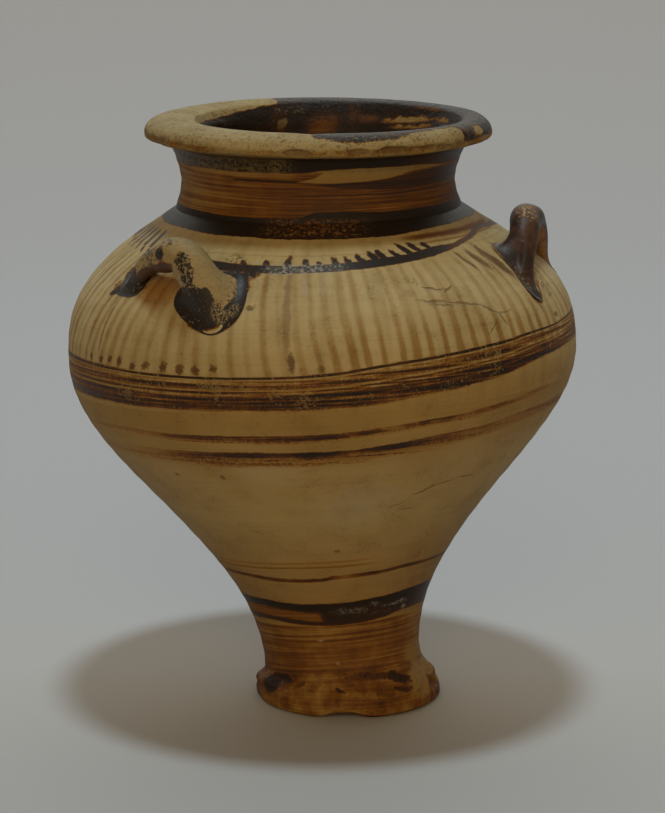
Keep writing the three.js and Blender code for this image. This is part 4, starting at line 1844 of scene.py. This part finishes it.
    def chalk_and_sheen(self, brush: Brushwork) -> Number:
        """Whitish specks in the dark band; the spot at azimuth 46 is a painted highlight."""
        spots = brush.blots((
            # The spot at azimuth 46 paints the highlight on the dark band.
            (40, 22.8, 7, 1, 4, 0.3, 0.6, 2), (46, 21.4, 1.6, 1.2, 0, 0.6, 0.5, 2),
            (8, 22.4, 6, 1.6, 0, 0.2, 0.8, 2), (24, 23.4, 2, 1.2, 0, 0.22, 0.8, 2),
            (-13, 15.6, 1.8, 0.8, 0, 0.4, 0.5), (-3, 9.8, 0.9, 0.7, 0, 0.4, 0.5),
        ))
        return spots * (brush.fleck + brush.grain - 0.5).step(0.4, 0.56)

    @staticmethod
    def _cracks() -> tuple[Row, ...]:
        """Thin cracks and small pits."""
        return (
            (30, 52.6, 5.6, 0.45, 26, 1, 0.5), (36, 54, 4, 0.4, 14, 0.9, 0.5),
            (43, 54.6, 6, 0.35, -4, 0.8, 0.5), (22, 49.4, 4, 0.35, 30, 0.6, 0.5),
            (26, 48.2, 4, 0.35, 8, 0.5, 0.5), (-43, 59, 1.2, 1), (-28, 59, 1, 0.9), (2, 38, 1, 0.9),
        )

    def relief(self, brush: Brushwork) -> Number:
        """Cracks and pits."""
        return brush.blots(self._cracks()) * -0.25


@dataclass
class NeckPaint(PaintedClay):
    """The neck and lip: dark slip in bands, washed thin between, and worn off the lip's edge."""

    tones: Tones = ((118.0, srgb(150, 122, 70)), (130.0, srgb(146, 122, 76)), (134.0, srgb(164, 142, 98)))

    def load(self, brush: Brushwork) -> Value:
        """The load of slip."""
        graph = brush.graph
        outer = self._outside(brush)
        face = (brush.height + brush.uneven(shake=0.9, jitter=0.5)).step(132.3, 132.8)
        inner = self._inside(brush)
        return graph.lerp(self._facing(brush), inner, graph.most(outer * (1.0 - face), inner * face))

    @staticmethod
    def _facing(brush: Brushwork) -> Value:
        """1 on the outside of the neck, 0 on its inside."""
        return (brush.radius + (brush.height - 115.0) * -0.12).step(28.8, 29.6)

    @staticmethod
    def _outside(brush: Brushwork) -> Value:
        """The slip on the outside of the neck, up to the lip's edge, with painted shade under the lip."""
        graph = brush.graph
        thick = 0.36 + brush.side.step(-48.0, -12.0) * 0.2
        wash = brush.level.between(113.0, 126.5, 0.6) * (
            thick + brush.uneven(streak=0.9, hair=0.5, mottle=0.4)
        )
        lines = ((121.2, 0.5, 0.8), (119.6, 0.35, 0.7), (118.4, 0.3, 0.6))
        lines = graph.merged(*(brush.line(height, width) * strength for height, width, strength in lines))
        lines = lines * brush.side.step(-26.0, -4.0) * (0.5 + brush.streak)
        base = brush.level.step(brush.track((
            (-180, 117.2), (-50, 116.5), (-14, 116.3), (-4, 117.2), (4, 117.8), (30, 117.4), (63, 117.4),
            (180, 117.2),
        )), brush.track((
            (-180, 116.8), (-50, 116.1), (-14, 115.9), (-4, 116.8), (4, 117.4), (30, 117), (63, 117),
            (180, 116.8),
        )))
        worn = brush.front() * brush.level.step(116.4, 115.6)
        base = base * (1.0 - worn * brush.specks(0.4, 0.56) * 0.42)
        under = brush.band(Band(
            low=((-180, 125.8), (-80, 126), (-10, 126.3), (5, 127), (35, 127.3), (60, 126.5), (180, 125.8)),
            high=((-180, 131), (-45, 130.5), (0, 130.5), (30, 130.3), (60, 131), (180, 131)),
            loads=((0, 0.8), (0.2, 1), (0.8, 0.95), (1, 0.7)),
            edge=0.6,
        ))
        under = under * (1.0 - brush.side.step(26.0, 46.0) * 0.2)
        gap = brush.level.between(125.1, 126.3, 0.5) * brush.azimuth.between(-60.0, -8.0, 10.0)
        thread = brush.line(124.5, 0.6) * brush.azimuth.between(-36.0, -6.0, 6.0) * 0.9
        wedge = brush.level.between(
            brush.track((
                (-180, 124.5), (-8, 124.4), (5, 124), (20, 124.3), (35, 125.5), (45, 126.3), (180, 126.6),
            )),
            brush.track((
                (-180, 124.5), (-8, 124.6), (5, 127), (20, 127.4), (35, 127.3), (48, 127.1), (60, 126.6),
                (180, 126.6),
            )),
            0.35,
        ) * brush.azimuth.between(-8.0, 54.0, 5.0)
        swash = brush.level.between(
            brush.track((
                (-180, 122.5), (-8, 123.5), (10, 122.5), (20, 122.3), (35, 122), (60, 122), (180, 122.5),
            )),
            brush.track((
                (-180, 126), (-8, 123.9), (10, 124), (20, 124.5), (35, 125.3), (50, 126), (180, 126),
            )),
            0.5,
        ) * brush.side.step(-12.0, -4.0) * (0.8 + (brush.streak - 0.5) * 0.9)
        # Thin slip under the lip's edge, partly painted shade where the lip overhangs.
        under_lip_wash_and_shade = brush.level.between(130.4, 132.9, 0.4) * (0.22 + brush.uneven(mottle=1.2, jitter=0.8))
        body = graph.merged(wash, lines, base, under, swash, thread) * (1.0 - wedge * 0.7) * (1.0 - gap * 0.4)
        return graph.most(body, under_lip_wash_and_shade)

    @staticmethod
    def _inside(brush: Brushwork) -> Value:
        """The slip on the lip's top and down the inside of the neck."""
        graph = brush.graph
        edge = brush.track((
            (-180, 39.6), (-168, 38), (-150, 33), (-125, 31), (-90, 30.4), (-20, 30.3), (-10, 31),
            (-4, 35.8), (4, 38.6), (14, 39.2), (24, 39), (30, 38), (36, 36.9), (46, 36.4), (54, 36.8),
            (59, 41), (110, 39.4), (150, 38.6), (180, 39.6),
        ))
        lip = (brush.radius + brush.uneven(shake=1.6, jitter=1.2)).step(edge + 0.4, edge - 0.4)
        top = brush.track((
            (-180, 138), (-162, 137), (-156, 135), (-146, 134.5), (-129, 133.6), (-117, 133.3),
            (-90, 133.3), (-20, 133.6), (-8, 136), (0, 138), (180, 138),
        ))
        lip = lip * (brush.height + brush.shake * 0.9).step(top + 0.3, top - 0.3)
        thin = (brush.mottle + (brush.fleck - 0.5) * 0.3).step(0.48, 0.68) * 0.3
        bare = brush.blots((
            (138, 132, 15, 1.8, -8, 0.8, 0.5, 1.6), (134, 130.6, 13, 1.2, -8, 0.66, 0.5, 1.6),
            (115, 133, 7, 1.3, 0, 0.7, 0.5, 1.6), (-179, 129.6, 7, 7, 0, 0.52, 0.9, 1.2),
            (160, 131.6, 5, 2.4, 0, 0.4, 0.9, 1.4), (67.5, 134.2, 5, 3, 0, 0.9),
            (128, 134.9, 12, 1, 0, 0.4),
        )) * (0.6 + brush.streak * 0.8)
        return lip * (0.98 - thin) * (1.0 - graph.least(bare, 0.9))

    def bald(self, brush: Brushwork) -> Number:
        """Chips: specks in the upper band and the ring, on the lip and down the inside."""
        graph = brush.graph
        fine = (brush.fleck + (brush.grain - 0.5) * 0.8).step(0.47, 0.56)
        upper = brush.side.step(-6.0, -16.0) * brush.level.between(126.0, 131.0, 0.6)
        upper = upper * fine * 0.62 * self._facing(brush)
        front = brush.front()
        ring = front * brush.level.step(116.4, 115.6) * brush.specks(0.54, 0.66) * 0.36
        inside = graph.most(
            brush.blots(((-158, 130.5, 2.2, 2.8, 20, 0.8, 0.4, 1.6),)),
            brush.blots(((-162, 133.4, 8, 2, 0, 0.7, 0.6),)) * brush.specks(0.54, 0.62),
        )
        lip = brush.azimuth.between(-6.0, 70.0, 6.0) * brush.height.step(132.6, 133.4)
        lip = lip * brush.specks(0.56, 0.62) * brush.radius.step(34.0, 35.0) * 0.7
        return graph.merged(upper, ring, inside, lip)

    def stain(self, brush: Brushwork, colour: Socket) -> Socket:
        """Dirt on the lip, and dirt with painted shade just under the lip's edge."""
        graph = brush.graph
        dirt = (brush.shake + brush.jitter * 0.8).step(-0.05, 0.3) * 0.7
        colour = graph.tint(dirt, colour, self.clay.cloud)
        fine = (brush.fleck + (brush.mottle - 0.5)).step(0.52, 0.7) * 0.24
        colour = graph.tint(fine, colour, self.clay.dirt)
        # Dirt and painted shade darken the clay just below the lip's outer edge.
        low = (brush.height + brush.shake * 1.6).step(133.2, 131.8) * 0.5
        return graph.tint(low, colour, self.clay.dirt)

    def relief(self, brush: Brushwork) -> Number:
        """Pits along the lip."""
        lip = brush.height.step(129.0, 132.0)
        return (brush.specks(0.56, 0.7) * -0.2 + brush.uneven(shake=0.45, jitter=0.2)) * lip


@dataclass
class FootWash(PaintedClay):
    """The foot: an orange-brown wash with dark slip in patches, worn to the clay."""

    tones: Tones = ((0.0, srgb(160, 124, 74)), (8.0, srgb(152, 122, 74)))

    def load(self, brush: Brushwork) -> Value:
        """The load of slip."""
        graph = brush.graph
        wash = 0.42 + brush.uneven(streak=0.7, mottle=1.0, shake=0.5)
        dark = brush.blots((
            (-59, 5.4, 6, 5.5, 0, 1, 0.4, 2), (-50, 6.9, 8, 2.2, -10, 0.95, 0.4, 2),
            (-32, 5.9, 3.4, 1.4, 30, 0.6, 0.4, 2), (10, 6.9, 9, 1.5, 4, 0.62, 0.5, 1.6),
            (24, 6.6, 14, 1.8, -4, 0.72, 0.5, 1.6), (38, 5.8, 6, 2, -18, 0.92, 0.5, 1.8),
            (39, 4.1, 5, 1.3, -8, 0.8, 0.5, 1.8), (27, 2.6, 9, 1.2, 4, 0.58, 0.6, 1.8),
            (-4, 4.8, 2.6, 0.7, -20, 0.85, 0.4, 1.6), (-120, 5, 16, 3, 0, 0.8), (150, 5.5, 18, 2.6, 0, 0.8),
        ))
        bare = brush.blots((
            (-44, 4.2, 4, 2.4, 20, 0.4, 0.6, 2), (11, 4, 8, 1.2, -8, 0.36, 0.6, 2),
            (58, 4.6, 9, 5.5, 20, 0.9, 0.5, 1.6), (76, 5.6, 6, 3), (110, 3, 14, 4),
        ))
        return graph.most(wash * (1.0 - bare), dark * (0.8 + brush.fleck * 0.3))

    def stain(self, brush: Brushwork, colour: Socket) -> Socket:
        """Painted shade in the notch at the foot's top and along its sole, and dirt in patches."""
        graph = brush.graph
        # Painted shade: darker in the notch under the stem and along the sole by the floor.
        dirt = graph.most(brush.height.step(6.6, 7.6), brush.height.step(1.4, 0.2)) * 0.5
        dirt = graph.most(dirt, (brush.shake + brush.jitter).step(0.0, 0.3) * 0.5)
        return graph.tint(dirt, colour, self.clay.dirt)

    def relief(self, brush: Brushwork) -> Number:
        """Pits and rough clay."""
        return brush.specks(0.58, 0.75) * -0.2 + brush.uneven(shake=0.5, jitter=0.15)


@dataclass
class HandleSlip(PaintedClay):
    """Slip on a coil handle."""

    shine: float = 0.26

    def coil(self, brush: Brushwork) -> tuple[Value, Value, Value]:
        """Where a point is along the coil (-1 to 1), round it in degrees, and over the shoulder."""
        graph = brush.graph
        along, cosine, sine = graph.parts(graph.out(graph.attribute(COIL), "Vector"))
        turn = graph.math("WRAP", graph.math("ARCTAN2", sine, cosine) * DEGREES, 360.0, 0.0)
        return along, turn, graph.value(graph.attribute(LIFT), "Fac")

    def spot(self, brush: Brushwork, middle: Pair, reach: Pair, edge: float = 0.3) -> Value:
        """The mask of a spot, with its middle and its reach along the coil and round it."""
        graph = brush.graph
        along, turn, _ = self.coil(brush)
        aside = graph.math("WRAP", turn - middle[1], 180.0, -180.0)
        u, v = (along - middle[0]) / reach[0], aside / reach[1]
        far = graph.math("SQRT", u * u + v * v) + brush.uneven(shake=0.8, jitter=0.6)
        return far.step(1.0 + edge, 1.0 - edge)


@dataclass
class WornHandleSlip(HandleSlip):
    """The handle in front: most of its slip is gone, but for the underside, darkened further as painted
    shade, and the pads.
    """

    tones: Tones = ((96.0, srgb(164, 142, 98)), (114.0, srgb(156, 134, 92)))

    def load(self, brush: Brushwork) -> Value:
        """The load of slip."""
        graph = brush.graph
        along, turn, _ = self.coil(brush)
        place = along * 0.5 + 0.5
        full = 360.0
        low = brush.profile(place, tuple((0.5 + s / 2, a / full) for s, a in (
            (0.2, 64), (0.33, 56), (0.4, 58), (0.5, 70), (0.55, 80), (0.59, 74), (0.62, 58),
            (0.68, 56), (0.76, 60), (0.82, 50), (0.86, 26), (0.9, 0), (1, 0),
        ))) * full
        high = brush.profile(place, tuple((0.5 + s / 2, a / full) for s, a in (
            (0.2, 76), (0.33, 80), (0.4, 84), (0.5, 92), (0.54, 104), (0.58, 190), (0.7, 230),
            (0.9, 330), (0.94, 360), (1, 360),
        ))) * full * 1.1
        loose = turn + brush.uneven(shake=30.0, jitter=34.0)
        leg = loose.step(low - 8.0, low - 4.0) * loose.step(high + 7.0, high + 3.0)
        leg = graph.most(leg, (along + brush.shake * 0.08).step(0.91, 0.96))
        leg = leg * along.step(0.22, 0.3)
        fog = along.step(0.6, 0.95) * (brush.fleck + (along - 0.8) * 0.7).step(0.54, 0.6)
        fog = fog * abs(graph.math("WRAP", turn, 180.0, -180.0)).step(80.0, 50.0) * 0.8
        first = (along + brush.uneven(shake=0.3, jitter=0.2)).step(-0.58, -0.7)
        top = graph.most(
            self.spot(brush, (-0.02, 80), (0.07, 24)),
            self.spot(brush, (0.04, 34), (0.12, 22)) * brush.specks(0.52, 0.57),
        )
        # Dark slip kept under the arch, deepened as painted shade there.
        under = (turn + brush.shake * 40.0).between(108.0, 250.0, 20.0)
        under = under * along.step(0.34, 0.2) * 0.72
        olive = (brush.fleck + (brush.mottle - 0.5)).step(0.5, 0.56)
        olive = olive * along.step(0.0, -0.26) * 0.85
        return graph.merged(leg, fog, first, top, under, olive) * 0.98

    def bald(self, brush: Brushwork) -> Number:
        """Specks all over, and the lacy patch on the right pad."""
        graph = brush.graph
        along, _, _ = self.coil(brush)
        lace = self.spot(brush, (0.84, 62), (0.1, 16)) * abs(brush.fleck - 0.48).step(0.06, 0.02)
        band = along.between(0.24, 0.58, 0.05) * brush.specks(0.52, 0.57) * 0.8
        tail = self.spot(brush, (0.92, 36), (0.05, 16)) * abs(brush.fleck - 0.48).step(0.05, 0.02)
        return graph.merged(lace * 0.9, tail * 0.8, band, brush.specks(0.62, 0.67) * 0.7)

    def stain(self, brush: Brushwork, colour: Socket) -> Socket:
        """Dirt on the worn clay."""
        graph = brush.graph
        dirt = (brush.shake + brush.jitter).step(-0.1, 0.35) * 0.45
        return graph.tint(dirt, colour, self.clay.dirt)


@dataclass
class DarkHandleSlip(HandleSlip):
    """The other handles: lustrous slip, thin in places and worn through at the top."""

    def load(self, brush: Brushwork) -> Value:
        """The load of slip."""
        along, turn, lift = self.coil(brush)
        base = 0.82 + brush.uneven(mottle=0.8, shake=0.4, jitter=0.3)
        brown = self.spot(brush, (-0.46, 34), (0.2, 34), 0.6) * 0.12
        worn = self.spot(brush, (-0.14, 8), (0.16, 56), 0.4)
        worn = worn * (brush.fleck + brush.shake * 0.3).step(0.44, 0.54)
        inner = (turn + brush.shake * 30.0).between(112.0, 250.0, 20.0)
        inner = inner * lift.step(0.4, 2.0) * 0.42
        edge = abs(along).step(0.9, 0.97) * turn.between(296.0, 342.0, 16.0) * 0.5
        return (base - brown - inner - edge) * (1.0 - worn * 0.6)

    def bald(self, brush: Brushwork) -> Number:
        """Specks, mostly at the top and on the pads."""
        graph = brush.graph
        along, _, _ = self.coil(brush)
        top = self.spot(brush, (-0.16, 10), (0.14, 40), 0.5) * brush.specks(0.52, 0.58) * 0.7
        pads = abs(along).step(0.78, 0.92) * brush.specks(0.57, 0.63) * 0.5
        return graph.merged(top, pads, brush.specks(0.66, 0.7) * 0.4)


def card(name: str, near: Colour, far: Colour) -> Material:
    """A matt card with a painted light gradient: it gets a little paler towards its far end."""
    material = bpy.data.materials.new(name)
    material.use_nodes = True
    graph = Graph(material.node_tree)
    _, away, _ = graph.parts(graph.out(graph.node("ShaderNodeTexCoord"), "Object"))
    depth, bend = 1.3, 0.6
    # Painted light: the floor's colour brightens with distance, as the light on it does.
    share = graph.most(graph.least(away / depth, 1.0), 0.0) ** bend
    shader = material.node_tree.nodes["Principled BSDF"]
    shader.inputs["Roughness"].default_value = 0.9
    material.node_tree.links.new(graph.mix(share, near, far), shader.inputs["Base Color"])
    return material


FRONT_LEFT = HandleShape(
    roots=(
        Root(azimuth=-53.0, height=0.64, leg_share=0.64, knee=(0.22, 0.3, 0.42),
             crook=(0.76, 0.8, 0.84), edge=(
            (-58.2, 102), (-57.6, 99.6), (-53.5, 99.2), (-49.5, 99.8),
            (-48.2, 102), (-49, 104.6), (-52.5, 106.2), (-56.5, 105),
        )),
        Root(azimuth=-25.5, height=0.545, leg_share=1.22, knee=(0.38, 0.4, 0.5),
             crook=(0.62, 0.8, 0.88), edge=(
            (-17.4, 101.4), (-18.6, 96.4), (-23.9, 93.1), (-30.2, 95.2),
            (-36, 99.2), (-35.4, 103.2), (-27, 105.8), (-19.6, 105.4),
        )),
    ),
    azimuth=-36.2,
    inset=-0.12,
    gap=1.28,
    seed=5,
)
RIGHT = HandleShape(
    roots=(
        Root(azimuth=61.2, height=0.65, leg_share=0.84, edge=(
            (58.6, 103.4), (57.6, 98.6), (61, 95), (64.2, 98),
            (67.8, 101.2), (70, 105), (66, 107.8), (60.4, 107.4),
        )),
        Root(azimuth=93.0, height=0.64, outer=6.6, inner=4.6, down=7.6, up=4.4, leg_share=0.9),
    ),
    azimuth=78.4,
    inset=0.44,
    gap=0.98,
    seed=8,
)
BACK = HandleShape(
    roots=(
        Root(azimuth=182.5, height=0.627, outer=7.0, inner=5.4, down=7.6, up=5.0),
        Root(azimuth=215.5, height=0.627, outer=7.0, inner=5.0, down=6.8, up=5.0),
    ),
    azimuth=199.0,
    inset=0.38,
    gap=0.87,
    seed=11,
)


def lip_chips(shape: JarShape) -> list[Chip]:
    """The knocks along the lip: a few large ones in front and many small ones all round."""
    rng = np.random.default_rng(17)
    edge, low = shape.rim_radius, shape.rim_z
    chips = [
        Chip(-5.0, shape.mouth_radius + 1.2, shape.crest_z, (2.6, 1.4, 2.2), (0, -0.9, 0), 4.0, 0.9),
        Chip(-6.5, edge, low - 0.6, (3.2, 1.1, 2), (-0.9, 0.5, 0), 4.0, 1.0),
        Chip(13.0, edge, low - 0.5, (2.8, 1, 2), (-0.9, 0.6, 0), 4.0, 1.0),
        Chip(-68.0, edge, low - 0.8, (3, 1.2, 2.5), (-0.8, 0.5, 0), 4.0, 0.5),
        Chip(58.0, edge, low, (5, 1.6, 2), (-0.6, -0.3, 0), 3.0, 0.5),
    ]
    for _ in range(26):
        size = rng.uniform(0.5, 1.1)
        chips.append(Chip(
            rng.uniform(19, 40), edge, low + rng.uniform(-0.8, 0.5),
            (size * rng.uniform(1, 1.8), size * 0.7, 1.6), (-0.45 * size, 0.2 * size, 0.0), 3.0, 1.0,
        ))
    for _ in range(70):
        size = rng.uniform(0.4, 1.3)
        chips.append(Chip(
            rng.uniform(-180, 180), edge, low + rng.uniform(-1, 0.4),
            (size * rng.uniform(1.2, 3), size * 0.7, 1.6), (-0.35 * size, 0.15 * size, 0.0), 3.0,
            rng.uniform(0.2, 0.8),
        ))
    return chips


def foot_chips(shape: JarShape) -> list[Chip]:
    """The foot's knocks and smears: the arch in its sole, the smear at its right and its chips."""
    rng = np.random.default_rng(23)
    edge = shape.foot_radius
    chips = [
        Chip(-4.0, shape.foot_sole_radius, 0.0, (4.6, 1.8, 5), (0, 1.3, 0), 3.0),
        Chip(-75.0, edge - 1.5, 5.6, (9, 1.5, 3), (1.2, 0.3, 0), 3.0),
        Chip(-52.0, edge - 1.5, 6.6, (4, 1.4, 2.5), (-1, -0.2, 0), 3.0, 0.3),
        Chip(-40.0, edge - 0.5, 3.6, (3, 1.6, 3), (0.5, 0, 0)),
        Chip(-30.0, edge - 1.0, 5.6, (2.6, 1.2, 3), (-0.7, 0, 0), 3.0),
        Chip(12.0, edge - 1.0, 5.2, (9, 0.8, 3), (-0.5, 0, 0), 3.0),
        Chip(22.0, edge - 0.6, 3.4, (7, 1, 3), (0.4, 0, 0)),
        Chip(48.0, edge - 1.0, 6.0, (5, 2, 3), (0.9, 0.4, 0)),
        Chip(84.0, edge, 5.4, (3, 1.4, 3), (1, 0.6, 0), 3.0),
        Chip(72.0, edge, 3.2, (2, 1, 2.5), (-0.9, 0, 0), 4.0, 0.7),
        Chip(88.0, edge, 2.4, (3, 1.2, 2.5), (-1.1, 0.2, 0), 4.0, 0.8),
        Chip(98.0, edge, 4.0, (3, 1, 2.5), (-0.7, 0.2, 0), 4.0, 0.6),
    ]
    for _ in range(60):
        size = rng.uniform(0.5, 1.6)
        chips.append(Chip(
            rng.uniform(-180, 180), edge - rng.uniform(0, 1), rng.uniform(0.4, 6),
            (size * rng.uniform(1, 2.5), size * 0.7, 2.0), (rng.uniform(-0.45, 0.2) * size, 0.0, 0.0), 2.5,
            rng.uniform(0, 0.5),
        ))
    return chips


def main() -> None:
    """Builds the jar and its studio."""
    logging.basicConfig(level=logging.INFO, format="%(name)s: %(message)s")
    shape = JarShape()
    # The pale card's two tones paint the floor lighter towards the back.
    Studio().build(card("pale_card", srgb(184, 180, 178), srgb(194, 194, 201)))
    finishes = {
        Finish.FOOT: FootWash(),
        Finish.LOWER: LowerPaint(),
        Finish.SHOULDER: ShoulderPaint(),
        Finish.NECK: NeckPaint(),
        Finish.WORN_HANDLE: WornHandleSlip(),
        Finish.DARK_HANDLE: DarkHandleSlip(),
    }
    materials = {finish: paint.build(finish) for finish, paint in finishes.items()}
    turner = WallTurner(shape)
    body = Body(shape, turner, Sculptor(shape))
    finish_piece(body.foot(materials[Finish.FOOT], WheelMarks(), foot_chips(shape)), ["foot"])
    finish_piece(body.lower_body(materials[Finish.LOWER], WheelMarks()), ["lower_body"])
    finish_piece(body.shoulder(materials[Finish.SHOULDER], WheelMarks()), ["shoulder"])
    neck_marks = WheelMarks(turns=480, ring_pitch=3.0, bias=0.34)
    neck = body.neck(materials[Finish.NECK], neck_marks, lip_chips(shape))
    finish_piece(neck, ["neck_and_rim"])
    handles = (
        ("handle_front_left", FRONT_LEFT, Finish.WORN_HANDLE, "worn_slip"),
        ("handle_right", RIGHT, Finish.DARK_HANDLE, "dark_slip"),
        ("handle_back", BACK, Finish.DARK_HANDLE, "dark_slip"),
    )
    for name, sizes, finish, slot in handles:
        finish_piece(CoilHandle(shape, name, sizes).build(materials[finish]), [name])


if __name__ == "__main__":
    main()
